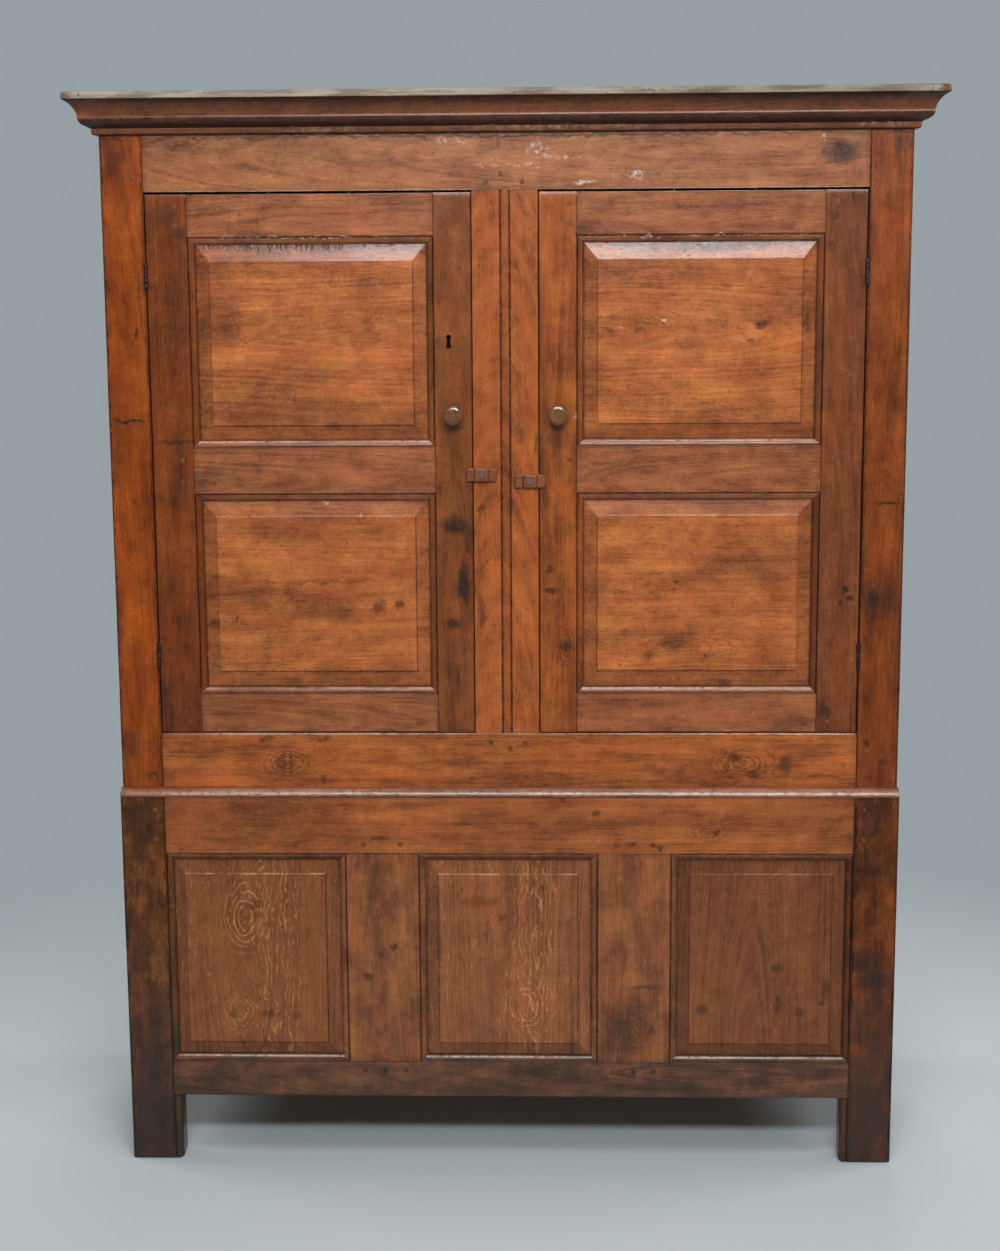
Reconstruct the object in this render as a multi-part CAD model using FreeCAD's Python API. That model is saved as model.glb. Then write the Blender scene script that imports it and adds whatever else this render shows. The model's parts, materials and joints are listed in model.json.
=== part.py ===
import FreeCAD, Part
import os
from collections import namedtuple
from math import cos, pi, sin

from FreeCAD import Vector

# An oak linen press in two stages: a panelled base on four legs, and an upper stage with two
# panelled doors under a cornice. Millimetres. +X is the viewer's right, -Y the front, +Z up.
# The origin lies on the floor, under the middle of the whole piece.

# ---- overall sizes
overall_height = 1965.0
upper_width = 1423.0          # over the corner posts of the upper stage
upper_depth = 530.0           # front face of the upper stage to the back
base_height = 711.0           # floor to the top edge of the base's frame
base_step = 12.0              # the base's face stands in front of the upper stage by this
base_side_step = 3.0          # and its sides stand out by this
cornice_projection = 54.0
cornice_height = 74.0

# ---- upper stage, front frame
post_face = 76.0
post_depth = 50.0
frame_thickness = 28.0
top_rail_face = 94.5          # from the door openings up to the cornice
bottom_rail_height = 113.5
muntin_face = 116.0
bead_channel_width = 17.5     # the sunk bead down the middle of the muntin
bead_channel_depth = 3.5
bead_width = 11.0

# ---- carcass sides, back and top
side_thickness = 26.0
side_top_rail = 110.0
side_middle_rail = 90.0
side_bottom_rail = 110.0
rear_post_width = 60.0
rear_post_depth = 60.0
back_rail_height = 90.0
back_rail_thickness = 24.0
back_board_thickness = 12.0
back_board_count = 8
back_board_gap = 0.8
top_board_thickness = 15.0
top_board_count = 4

# ---- base
leg_face = 82.0               # up to the line where the run moulding starts
base_frame_thickness = 30.0
base_top_rail_face = 112.0
base_bottom_rail_face = 69.0
foot_height = 127.5
base_muntin_face = 135.0
base_panel_bay = 329.5        # width of the middle bay between the muntins' faces
nosing_height = 14.0
nosing_overhang = 4.0

# ---- doors
door_side_gap = 1.6
door_top_gap = 3.5
door_bottom_gap = 2.0
door_rest_gap = 0.3
lock_stile_face = 67.0
hinge_stile_face = 73.5
door_top_rail_face = 75.0
door_middle_rail_face = 84.0
door_bottom_rail_face = 72.0
door_upper_bay_height = 370.0

# ---- run moulding around the panels
moulding_width = 12.5
moulding_depth = 6.5
moulding_lip = 1.6
quirk_width = 2.0
quirk_depth = 1.8

# ---- fielded panels
panel_set = 9.0               # the panel's tongue lies this far behind the frame's face
panel_edge_thickness = 6.0
panel_tongue = 9.0
groove_depth = 10.5
field_set = 2.5               # the raised field lies this far behind the frame's face
field_step = 1.8
door_bevel_side = 24.0
door_bevel_end = 28.0
base_bevel = 24.0
side_bevel = 30.0

# ---- mortise and tenon joints, pegs
tenon_set = 9.5
tenon_thickness = 9.0
tenon_shoulder = 13.0
post_tenon = 50.0
door_tenon = 48.0
side_tenon = 20.0
muntin_tenon = 42.0
mortise_slack = 1.5
peg_radius = 4.3
peg_depth = 23.0
peg_proud = 0.8
peg_clearance = 0.05

# ---- shelves, floor and base bottom
shelf_thickness = 18.0
lower_shelf_top = 1195.0
upper_shelf_top = 1572.0
shelf_board_count = 3
bearer_width = 22.0
bearer_height = 30.0
bearer_tenon = 12.0
floor_thickness = 16.0
floor_rise = 8.0              # the floor stands above the bottom rail and stops the doors
floor_board_count = 4
joist_width = 44.0
joist_height = 40.0
joist_tenon = 10.0
cover_width = 480.0
cover_gap = 1.5
cover_board_count = 3
batten_width = 60.0
batten_thickness = 18.0
batten_inset = 60.0
finger_hole_radius = 15.0
base_floor_height = 175.0
base_board_count = 7
base_cleat_size = 22.0
board_gap = 0.6
notch_clearance = 1.0
stop_block_width = 40.0
stop_block_height = 36.0
stop_block_thickness = 14.0
stop_block_drop = 12.0
stop_block_inset = 60.0

# ---- knobs, hinges, turn buttons, lock
knob_height = 1404.5
knob_radius = 18.0
knob_length = 28.0
knob_neck_radius = 8.5
knob_spigot_radius = 7.0
knob_spigot_length = 24.0
hinge_inset = 142.0           # door's end to the middle of the hinge
hinge_length = 44.0
hinge_leaf_width = 20.0
hinge_leaf_thickness = 2.0
hinge_knuckle_radius = 3.5
hinge_pin_radius = 1.6
hinge_axis_proud = 4.0
knuckle_count = 5
knuckle_gap = 0.3
running_clearance = 0.05
pin_head_radius = 2.8
pin_head_height = 1.4
button_inset = 14.4           # muntin's edge to the button's screw
left_button_height = 1298.0
right_button_height = 1286.5
button_length = 54.0
button_width = 22.0
button_arm_thickness = 8.0
button_boss_width = 24.0
button_boss_thickness = 13.0
button_gap = 0.3
screw_radius = 2.2
screw_depth = 20.0
screw_head_radius = 5.0
screw_head_height = 2.4
screw_slot_width = 1.3
keyhole_height = 1534.0
keyhole_inset = 41.0          # door's free edge to the middle of the keyhole
keyhole_length = 22.0
keyhole_eye_radius = 3.6
keyhole_foot_width = 8.0
lock_width = 68.0
lock_height = 92.0
lock_thickness = 14.0
lock_wall = 2.0
lock_setback = 6.0
bolt_length = 50.0
bolt_height = 14.0
bolt_thickness = 6.0
bolt_rise = 22.0
bolt_clearance = 0.3
key_pin_radius = 1.8

# ---- places that follow from the sizes
half_upper = upper_width / 2
half_base = half_upper + base_side_step
overall_depth = upper_depth + cornice_projection
front = cornice_projection - overall_depth / 2
back = overall_depth / 2
base_front = front - base_step
frame_top = overall_height - top_board_thickness
cornice_bottom = overall_height - cornice_height
opening_edge = half_upper - post_face
half_muntin = muntin_face / 2
opening_top = cornice_bottom - top_rail_face
opening_bottom = base_height + bottom_rail_height
side_inner = half_upper - side_thickness
back_rail_front = back - back_board_thickness - back_rail_thickness
leg_edge = half_base - leg_face
base_bay_top = base_height - base_top_rail_face
base_bay_bottom = foot_height + base_bottom_rail_face
door_thickness = frame_thickness - door_rest_gap
door_free_edge = half_muntin + door_side_gap
door_hinge_edge = opening_edge - door_side_gap
door_bottom = opening_bottom + door_bottom_gap
door_top = opening_top - door_top_gap
lock_stile_line = door_free_edge + lock_stile_face
hinge_stile_line = door_hinge_edge - hinge_stile_face
floor_top = opening_bottom + floor_rise
floor_bottom = floor_top - floor_thickness

Bay = namedtuple("Bay", "x0 x1 z0 z1")

upper_bay_top = door_top - door_top_rail_face
upper_bay_bottom = upper_bay_top - door_upper_bay_height
door_upper_bay = Bay(lock_stile_line, hinge_stile_line, upper_bay_bottom, upper_bay_top)
door_lower_bay = Bay(lock_stile_line, hinge_stile_line,
                     door_bottom + door_bottom_rail_face,
                     upper_bay_bottom - door_middle_rail_face)
base_muntin_inner = base_panel_bay / 2
base_muntin_outer = base_muntin_inner + base_muntin_face
base_middle_bay = Bay(-base_muntin_inner, base_muntin_inner, base_bay_bottom, base_bay_top)
base_right_bay = Bay(base_muntin_outer, leg_edge, base_bay_bottom, base_bay_top)
base_left_bay = Bay(-leg_edge, -base_muntin_outer, base_bay_bottom, base_bay_top)

nodes = {}


# ---------------------------------------------------------------- general helpers

def board(x0, x1, y0, y1, z0, z1):
    """A square-edged board between two limits on each axis."""
    return Part.makeBox(x1 - x0, y1 - y0, z1 - z0, Vector(x0, y0, z0))


def mirrored(shape):
    """The same piece on the other side of the middle plane."""
    return shape.mirror(Vector(0, 0, 0), Vector(1, 0, 0))


def both_sides(shape):
    return [shape, mirrored(shape)]


def joined(pieces):
    """One solid from pieces that share faces or overlap."""
    solid = pieces[0].fuse(pieces[1:]) if len(pieces) > 1 else pieces[0]
    return solid.removeSplitter()


def without(shape, tools):
    return shape.cut(tools) if tools else shape


def rod(radius, start, direction, length):
    return Part.makeCylinder(radius, length, start, direction)


def grown(bay, by):
    return Bay(bay.x0 - by, bay.x1 + by, bay.z0 - by, bay.z1 + by)


def rectangle(bay, y):
    corners = [(bay.x0, bay.z0), (bay.x1, bay.z0), (bay.x1, bay.z1), (bay.x0, bay.z1)]
    points = [Vector(x, y, z) for x, z in corners]
    return Part.makePolygon(points + points[:1])


def to_right_side(shape, side_x):
    """Turns a piece made with its face at y = 0 so that it faces +X at side_x."""
    turned = shape.copy()
    turned.rotate(Vector(0, 0, 0), Vector(0, 0, 1), 90)
    turned.translate(Vector(side_x, 0, 0))
    return turned


def spread(low, high, count, gap):
    """The limits of count equal boards with a gap between them."""
    width = (high - low - gap * (count - 1)) / count
    starts = [low + i * (width + gap) for i in range(count)]
    return [(start, start + width) for start in starts]


# ---------------------------------------------------------------- joinery helpers

def rail_tenon(shoulder, toward, z0, z1, face, length):
    """The tenon at a rail's end. toward is +1 or -1 along X."""
    x0, x1 = sorted((shoulder, shoulder + toward * length))
    y0 = face + tenon_set
    return board(x0, x1, y0, y0 + tenon_thickness, z0 + tenon_shoulder, z1 - tenon_shoulder)


def muntin_end_tenon(shoulder, toward, x0, x1, face, length):
    """The tenon at the end of an upright between two rails. toward is +1 or -1 along Z."""
    z0, z1 = sorted((shoulder, shoulder + toward * length))
    y0 = face + tenon_set
    return board(x0 + tenon_shoulder, x1 - tenon_shoulder, y0, y0 + tenon_thickness, z0, z1)


def peg(x, z, face):
    start = Vector(x, face - peg_proud, z)
    return rod(peg_radius, start, Vector(0, 1, 0), peg_proud + peg_depth)


def peg_hole(x, z, face):
    start = Vector(x, face - peg_proud, z)
    length = peg_proud + peg_depth
    return rod(peg_radius + peg_clearance, start, Vector(0, 1, 0), length)


def moulding_section(thickness):
    """Section of the run edge in the YZ plane: a quirk, an ovolo and a lip down to the panel."""
    brow = moulding_depth * 0.15
    ovolo_end = moulding_width - moulding_lip
    bend = Vector(0, moulding_depth - (moulding_depth - brow) * cos(pi / 4),
                  quirk_width + (ovolo_end - quirk_width) * sin(pi / 4))
    start, end = Vector(0, brow, quirk_width), Vector(0, moulding_depth, ovolo_end)
    corners = [Vector(0, moulding_depth, moulding_width), Vector(0, thickness, moulding_width),
               Vector(0, thickness, 0), Vector(0, 0, 0),
               Vector(0, quirk_depth, quirk_width / 2)]
    loop = [end] + corners + [start]
    edges = [Part.Arc(start, bend, end).toShape()]
    edges += [Part.makeLine(a, b) for a, b in zip(loop, loop[1:])]
    return Part.Face(Part.Wire(edges))


SIDE_TURN = {"bottom": 0, "right": -90, "top": -180, "left": -270}


def edge_moulding(bay, side, face, thickness, mitred=True):
    """The moulded edge of one member along one side of a bay, mitred at both corners."""
    along_x = side in ("bottom", "top")
    length = bay.x1 - bay.x0 if along_x else bay.z1 - bay.z0
    strip = moulding_section(thickness).extrude(Vector(length, 0, 0))
    if mitred:
        outline = [Vector(0, 0, 0), Vector(length, 0, 0),
                   Vector(length - moulding_width, 0, moulding_width),
                   Vector(moulding_width, 0, moulding_width)]
        wedge = Part.Face(Part.makePolygon(outline + outline[:1]))
        strip = strip.common(wedge.extrude(Vector(0, thickness, 0)))
    corner = {"bottom": (bay.x0, bay.z0), "right": (bay.x1, bay.z0),
              "top": (bay.x1, bay.z1), "left": (bay.x0, bay.z1)}[side]
    strip.rotate(Vector(0, 0, 0), Vector(0, 1, 0), SIDE_TURN[side])
    strip.translate(Vector(corner[0], face, corner[1]))
    return strip


def sight(bay):
    """The opening left between the moulded edges of a bay."""
    return grown(bay, -moulding_width)


def panel_groove(opening, face):
    """The space that a panel's tongue runs in, all round the opening."""
    reach = grown(opening, groove_depth)
    y0 = face + panel_set
    return board(reach.x0, reach.x1, y0, y0 + panel_edge_thickness, reach.z0, reach.z1)


def fielded_panel(opening, face, bevel_side, bevel_end):
    """A panel: a tongue in the groove, a bevel, and a raised field with a small step round it."""
    edge = grown(opening, panel_tongue)
    field = Bay(opening.x0 + bevel_side, opening.x1 - bevel_side,
                opening.z0 + bevel_end, opening.z1 - bevel_end)
    tongue_front = face + panel_set
    panel_back = tongue_front + panel_edge_thickness
    plate = board(edge.x0, edge.x1, tongue_front, panel_back, edge.z0, edge.z1)
    rise = Part.makeLoft([rectangle(opening, tongue_front),
                          rectangle(field, face + field_set + field_step)], True, True)
    raised = board(field.x0, field.x1, face + field_set, panel_back, field.z0, field.z1)
    return joined([plate, rise, raised])


# ---------------------------------------------------------------- pegs of the fixed frames

def pair_about(middle, spacing):
    return (middle - spacing / 2, middle + spacing / 2)


post_peg_x = opening_edge + post_face * 0.24
upper_post_pegs = [(post_peg_x, z) for z in pair_about((opening_top + frame_top) / 2 - 18, 62)]
upper_post_pegs += [(post_peg_x, z) for z in pair_about(base_height + bottom_rail_height / 2, 50)]
muntin_peg_rise = 14.0
muntin_pegs = [(x, opening_top + muntin_peg_rise) for x in (-33.0, 31.0)]
muntin_pegs += [(-7.0, opening_top + 2 * muntin_peg_rise)]
muntin_pegs += [(x, opening_bottom - muntin_peg_rise - 3) for x in (-30.0, 33.0)]
muntin_pegs += [(5.0, opening_bottom - 2 * muntin_peg_rise)]
leg_peg_x = leg_edge + leg_face * 0.22
leg_pegs = [(leg_peg_x, z) for z in pair_about(base_bay_top + base_top_rail_face / 2, 56)]
leg_pegs += [(leg_peg_x, z) for z in pair_about(foot_height + base_bottom_rail_face / 2, 30)]
base_muntin_middle = base_muntin_inner + base_muntin_face / 2
base_muntin_pegs = [(base_muntin_middle + x, base_bay_bottom - 18) for x in (-38.0, 0.0, 38.0)]
base_muntin_pegs += [(base_muntin_middle + x, base_bay_top + 18) for x in (-34.0, 34.0)]

upper_holes = [peg_hole(sign * x, z, front) for x, z in upper_post_pegs for sign in (1, -1)]
upper_holes += [peg_hole(x, z, front) for x, z in muntin_pegs]
base_holes = [peg_hole(sign * x, z, base_front)
              for x, z in leg_pegs + base_muntin_pegs for sign in (1, -1)]


# ---------------------------------------------------------------- side frames

side_bay_front = front + post_depth
side_bay_back = back - rear_post_depth
upper_side_lines = [base_height + side_bottom_rail, frame_top - side_top_rail]
side_middle = sum(upper_side_lines) / 2
upper_side_bays = [
    Bay(side_bay_front, side_bay_back, upper_side_lines[0], side_middle - side_middle_rail / 2),
    Bay(side_bay_front, side_bay_back, side_middle + side_middle_rail / 2, upper_side_lines[1])]
base_side_bottom_line = foot_height + base_bottom_rail_face
base_side_front = base_front + post_depth
base_side_bay = Bay(base_side_front, side_bay_back, base_side_bottom_line,
                    base_height - side_top_rail)


def side_rail(y0, y1, z0, z1, extra=0.0):
    """A side rail with its tenons, made with its face at y = 0 and its length along X."""
    body = board(y0, y1, 0, side_thickness, z0, z1)
    ends = [rail_tenon(y0, -1, z0, z1, 0, side_tenon + extra),
            rail_tenon(y1, 1, z0, z1, 0, side_tenon + extra)]
    return body, ends


def side_frame(rail_limits, bays, y0, y1, side_x):
    """Rails, panels and the spaces that they need in the posts, for the right-hand side."""
    grooves = [panel_groove(bay, 0) for bay in bays]
    rails, mortises = [], []
    for z0, z1 in rail_limits:
        body, ends = side_rail(y0, y1, z0, z1)
        rails.append(without(joined([body] + ends), grooves))
        mortises += side_rail(y0, y1, z0, z1, mortise_slack)[1]
    panels = [fielded_panel(bay, 0, side_bevel, side_bevel) for bay in bays]
    return ([to_right_side(rail, side_x) for rail in rails],
            [to_right_side(panel, side_x) for panel in panels],
            [to_right_side(space, side_x) for space in mortises + grooves])


upper_side_limits = [(base_height, upper_side_lines[0]),
                     (upper_side_bays[0].z1, upper_side_bays[1].z0),
                     (upper_side_lines[1], frame_top)]
upper_side_rails, upper_side_panels, upper_side_spaces = side_frame(
    upper_side_limits, upper_side_bays, side_bay_front, side_bay_back, half_upper)
base_side_limits = [(foot_height, base_side_bottom_line),
                    (base_height - side_top_rail, base_height)]
base_side_rails, base_side_panels, base_side_spaces = side_frame(
    base_side_limits, [base_side_bay], base_side_front, side_bay_back, half_base)


# ---------------------------------------------------------------- bearers under the shelves

def side_bearer(top, extra=0.0):
    """A bearer along the right-hand side, housed in the front and rear posts."""
    return board(side_inner - bearer_width, side_inner,
                 side_bay_front - bearer_tenon - extra, side_bay_back + bearer_tenon + extra,
                 top - bearer_height, top)


bearer_tops = [floor_bottom, lower_shelf_top - shelf_thickness, upper_shelf_top - shelf_thickness]
bearer_spaces = [side_bearer(top, notch_clearance) for top in bearer_tops]


def joist(extra=0.0):
    """The right-hand joist under the edge of the lift-out cover, with stub tenons."""
    body = board(cover_width / 2 - joist_width / 2, cover_width / 2 + joist_width / 2,
                 front + frame_thickness, back_rail_front,
                 floor_bottom - joist_height, floor_bottom)
    stub_inset = joist_width / 4
    stub = board(cover_width / 2 - joist_width / 2 + stub_inset,
                 cover_width / 2 + joist_width / 2 - stub_inset,
                 front + frame_thickness - joist_tenon - extra,
                 back_rail_front + joist_tenon + extra,
                 floor_bottom - joist_height * 0.75, floor_bottom - joist_height * 0.25)
    return body, stub


joist_spaces = both_sides(joist(notch_clearance)[1])


# ---------------------------------------------------------------- hinges

hinge_axis_x = (opening_edge + door_hinge_edge) / 2
hinge_axis_y = front - hinge_axis_proud
hinge_middles = [door_bottom + hinge_inset, door_top - hinge_inset]


def knuckle_limits(middle):
    return spread(middle - hinge_length / 2, middle + hinge_length / 2, knuckle_count, knuckle_gap)


def hinge_leaf(middle, edge_x, away, first):
    """One leaf: a plate let into the wood and every second knuckle, starting with first."""
    x0, x1 = sorted((edge_x, edge_x + away * hinge_leaf_thickness))
    z0, z1 = middle - hinge_length / 2, middle + hinge_length / 2
    pieces = [board(x0, x1, front, front + hinge_leaf_width, z0, z1)]
    for low, high in knuckle_limits(middle)[first::2]:
        pieces.append(board(x0, x1, hinge_axis_y, front, low, high))
        pieces.append(rod(hinge_knuckle_radius, Vector(hinge_axis_x, hinge_axis_y, low),
                          Vector(0, 0, 1), high - low))
    bore = rod(hinge_pin_radius + running_clearance,
               Vector(hinge_axis_x, hinge_axis_y, z0), Vector(0, 0, 1), hinge_length)
    return without(joined(pieces), [bore])


def leaf_pocket(middle, edge_x, away):
    x0, x1 = sorted((edge_x, edge_x + away * hinge_leaf_thickness))
    return board(x0, x1, front, front + hinge_leaf_width,
                 middle - hinge_length / 2, middle + hinge_length / 2)


def hinge_pin(middle):
    z0, z1 = middle - hinge_length / 2, middle + hinge_length / 2
    axis = Vector(hinge_axis_x, hinge_axis_y, 0)
    up = Vector(0, 0, 1)
    shank = rod(hinge_pin_radius, axis + up * z0, up, hinge_length)
    heads = [rod(pin_head_radius, axis + up * (z0 - pin_head_height), up, pin_head_height),
             rod(pin_head_radius, axis + up * z1, up, pin_head_height)]
    return joined([shank] + heads)


# ---------------------------------------------------------------- upper stage

def upper_post():
    """The right-hand front corner post."""
    body = board(opening_edge, half_upper, front, front + post_depth, base_height, frame_top)
    spaces = [rail_tenon(opening_edge, 1, z0, z1, front, post_tenon + mortise_slack)
              for z0, z1 in ((base_height, opening_bottom), (opening_top, frame_top))]
    spaces += upper_side_spaces + bearer_spaces + upper_holes
    spaces += [leaf_pocket(middle, opening_edge, 1) for middle in hinge_middles]
    return without(body, spaces)


def upper_rail(z0, z1, muntin_toward):
    """A front rail between the posts. The muntin's tenon enters it on one edge."""
    body = board(-opening_edge, opening_edge, front, front + frame_thickness, z0, z1)
    ends = [rail_tenon(opening_edge, 1, z0, z1, front, post_tenon),
            rail_tenon(-opening_edge, -1, z0, z1, front, post_tenon)]
    shoulder = z0 if muntin_toward > 0 else z1
    mortise = muntin_end_tenon(shoulder, muntin_toward, -half_muntin, half_muntin, front,
                               muntin_tenon + mortise_slack)
    return without(joined([body] + ends), [mortise] + joist_spaces + upper_holes)


def centre_muntin():
    """The upright between the doors, with a bead sunk in a channel down its face."""
    body = board(-half_muntin, half_muntin, front, front + frame_thickness,
                 opening_bottom, opening_top)
    ends = [muntin_end_tenon(opening_top, 1, -half_muntin, half_muntin, front, muntin_tenon),
            muntin_end_tenon(opening_bottom, -1, -half_muntin, half_muntin, front, muntin_tenon)]
    channel = board(-bead_channel_width / 2, bead_channel_width / 2, front,
                    front + bead_channel_depth, opening_bottom, opening_top)
    foot = Vector(-bead_width / 2, front + bead_channel_depth, opening_bottom)
    other_foot = Vector(bead_width / 2, front + bead_channel_depth, opening_bottom)
    crown = Vector(0, front + bead_channel_depth * 0.2, opening_bottom)
    bead_edges = [Part.Arc(foot, crown, other_foot).toShape(), Part.makeLine(other_foot, foot)]
    bead = Part.Face(Part.Wire(bead_edges)).extrude(Vector(0, 0, opening_top - opening_bottom))
    screws = [screw_hole(sign * (half_muntin - button_inset), z)
              for sign, z in ((1, right_button_height), (-1, left_button_height))]
    return without(joined([body] + ends), [channel.cut(bead)] + screws + upper_holes)


def rear_post(half_width, rear_front, z0, z1, spaces):
    body = board(half_width - rear_post_width, half_width, rear_front, back, z0, z1)
    return without(body, spaces)


def back_rail(half_width, z0, z1, spaces):
    """A back rail between the rear posts, with its tenons."""
    edge = half_width - rear_post_width
    y1 = back - back_board_thickness
    body = board(-edge, edge, back_rail_front, y1, z0, z1)
    return without(joined([body] + back_tenons(half_width, z0, z1, side_tenon)), spaces)


def back_tenons(half_width, z0, z1, length):
    edge = half_width - rear_post_width
    y0 = back_rail_front + (back_rail_thickness - tenon_thickness) / 2
    right = board(edge, edge + length, y0, y0 + tenon_thickness,
                  z0 + tenon_shoulder, z1 - tenon_shoulder)
    return both_sides(right)


def back_frame(half_width, rail_limits, post_bottom, post_top, spaces, rail_spaces):
    """Two rear posts and the rails between them."""
    mortises = []
    for z0, z1 in rail_limits:
        mortises += back_tenons(half_width, z0, z1, side_tenon + mortise_slack)
    post = rear_post(half_width, back - rear_post_depth, post_bottom, post_top,
                     spaces + mortises)
    rails = [back_rail(half_width, z0, z1, rail_spaces) for z0, z1 in rail_limits]
    return both_sides(post) + rails


def back_boards(half_width, z0, z1):
    edge = half_width - rear_post_width
    return [board(x0, x1, back - back_board_thickness, back, z0, z1)
            for x0, x1 in spread(-edge, edge, back_board_count, back_board_gap)]


upper_back_rails = [(base_height, floor_bottom),
                    (frame_top - back_rail_height, frame_top)]
base_back_rails = [(foot_height, base_side_bottom_line),
                   (base_height - back_rail_height, base_height)]


def top_boards():
    """Boards that close the top, side by side from front to back."""
    return [board(-half_upper, half_upper, y0, y1, frame_top, overall_height)
            for y0, y1 in spread(front, back, top_board_count, board_gap)]


def cornice_section():
    """Section of the cornice in the YZ plane, with y = 0 on the frame's face."""
    fillet_height = cornice_height * 0.195
    lower_height = cornice_height * 0.105
    lower_out = cornice_projection * 0.085
    tip = cornice_projection
    top = cornice_height
    hollow_top = Vector(0, -tip * 0.95, top - fillet_height - 1.0)
    hollow_bend = Vector(0, -tip * 0.62, top * 0.555)
    turn = Vector(0, -tip * 0.53, top * 0.36)
    round_bend = Vector(0, -tip * 0.40, top * 0.245)
    round_end = Vector(0, -lower_out - 1.2, top * 0.18)
    edges = [Part.Arc(hollow_top, hollow_bend, turn).toShape(),
             Part.Arc(turn, round_bend, round_end).toShape()]
    loop = [round_end, Vector(0, -lower_out, top * 0.165), Vector(0, -lower_out, lower_height / 2),
            Vector(0, 0, 0), Vector(0, 0, top), Vector(0, -tip, top),
            Vector(0, -tip, top - fillet_height), hollow_top]
    edges += [Part.makeLine(a, b) for a, b in zip(loop, loop[1:])]
    return Part.Face(Part.Wire(edges))


def cornice_pieces():
    """The front length and the two returns, mitred at the front corners."""
    reach = half_upper + cornice_projection
    section = cornice_section()
    long_front = section.extrude(Vector(2 * reach, 0, 0))
    long_front.translate(Vector(-reach, front, cornice_bottom))
    outline = [Vector(-half_upper, front, 0), Vector(-reach, front - cornice_projection, 0),
               Vector(reach, front - cornice_projection, 0), Vector(half_upper, front, 0)]
    wedge = Part.Face(Part.makePolygon(outline + outline[:1]))
    wedge = wedge.extrude(Vector(0, 0, overall_height))
    cornice_front = long_front.common(wedge)
    length = back - front + cornice_projection
    side = section.extrude(Vector(length, 0, 0))
    side.rotate(Vector(0, 0, 0), Vector(0, 0, 1), 90)
    side.translate(Vector(half_upper, front - cornice_projection, cornice_bottom))
    return cornice_front, both_sides(side.cut(wedge))


def notched(boards, posts):
    return [without(piece, posts) for piece in boards]


def post_clearances(half_width, face, edge):
    """Spaces to keep free around the four posts, for boards that are notched to them."""
    right = [board(edge - notch_clearance, half_width, face,
                   face + post_depth + notch_clearance, 0, overall_height),
             board(half_width - rear_post_width - notch_clearance, half_width,
                   back - rear_post_depth - notch_clearance, back, 0, overall_height)]
    return right + [mirrored(space) for space in right]


upper_posts_clear = post_clearances(half_upper, front, opening_edge)
base_posts_clear = post_clearances(half_base, base_front, leg_edge - moulding_width)


def shelf(top):
    """Boards that run the length of the press and lie on the bearers."""
    end = side_inner - notch_clearance
    boards = [board(-end, end, y0, y1, top - shelf_thickness, top)
              for y0, y1 in spread(side_bay_front + notch_clearance,
                                   back - back_board_thickness - notch_clearance,
                                   shelf_board_count, board_gap)]
    return notched(boards, upper_posts_clear)


def floor_boards():
    """The fixed floor, on both sides of the lift-out cover."""
    right = [board(cover_width / 2, side_inner - notch_clearance, y0, y1, floor_bottom, floor_top)
             for y0, y1 in spread(front + frame_thickness, back_rail_front,
                                  floor_board_count, board_gap)]
    right = notched(right, upper_posts_clear)
    return right + [mirrored(piece) for piece in right]


def well_cover():
    """The lift-out part of the floor: boards on two battens, with a finger hole."""
    half = cover_width / 2 - cover_gap
    y0 = front + frame_thickness + cover_gap
    y1 = back_rail_front - cover_gap
    hole = rod(finger_hole_radius, Vector(0, y0 + (y1 - y0) * 0.2, floor_bottom),
               Vector(0, 0, 1), floor_thickness)
    boards = [without(board(x0, x1, y0, y1, floor_bottom, floor_top), [hole])
              for x0, x1 in spread(-half, half, cover_board_count, board_gap)]
    reach = cover_width / 2 - joist_width / 2 - 2 * cover_gap
    battens = [board(-reach, reach, low, low + batten_width,
                     floor_bottom - batten_thickness, floor_bottom)
               for low in (y0 + batten_inset * 2, y1 - batten_inset - batten_width)]
    return boards + battens


def door_stop():
    """A block behind the top rail that the right-hand door closes against."""
    x0 = door_free_edge + stop_block_inset
    z0 = opening_top - stop_block_drop
    y0 = front + frame_thickness
    return board(x0, x0 + stop_block_width, y0, y0 + stop_block_thickness,
                 z0, z0 + stop_block_height)


# ---------------------------------------------------------------- doors

door_frame_bays = [door_lower_bay, door_upper_bay]
door_rails = {"top_rail": (door_upper_bay.z1, door_top),
              "middle_rail": (door_lower_bay.z1, door_upper_bay.z0),
              "bottom_rail": (door_bottom, door_lower_bay.z0)}
door_grooves = [panel_groove(sight(bay), front) for bay in door_frame_bays]


def door_peg_places():
    places = []
    lock_x = lock_stile_line - lock_stile_face * 0.2
    hinge_x = hinge_stile_line + hinge_stile_face * 0.28
    for z0, z1 in door_rails.values():
        middle = (z0 + z1) / 2
        places += [(x, z) for x in (lock_x, hinge_x) for z in pair_about(middle, (z1 - z0) * 0.45)]
    return places


door_holes = [peg_hole(x, z, front) for x, z in door_peg_places()]


def door_stile(x0, x1, line, toward, side):
    """A door stile with its moulded edge. line is its inner face line, toward the bays."""
    pieces = [board(x0, x1, front, front + door_thickness, door_bottom, door_top)]
    pieces += [edge_moulding(bay, side, front, door_thickness) for bay in door_frame_bays]
    mortises = [rail_tenon(line, toward, z0, z1, front, door_tenon + mortise_slack)
                for z0, z1 in door_rails.values()]
    return without(joined(pieces), mortises + door_grooves + door_holes)


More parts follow.
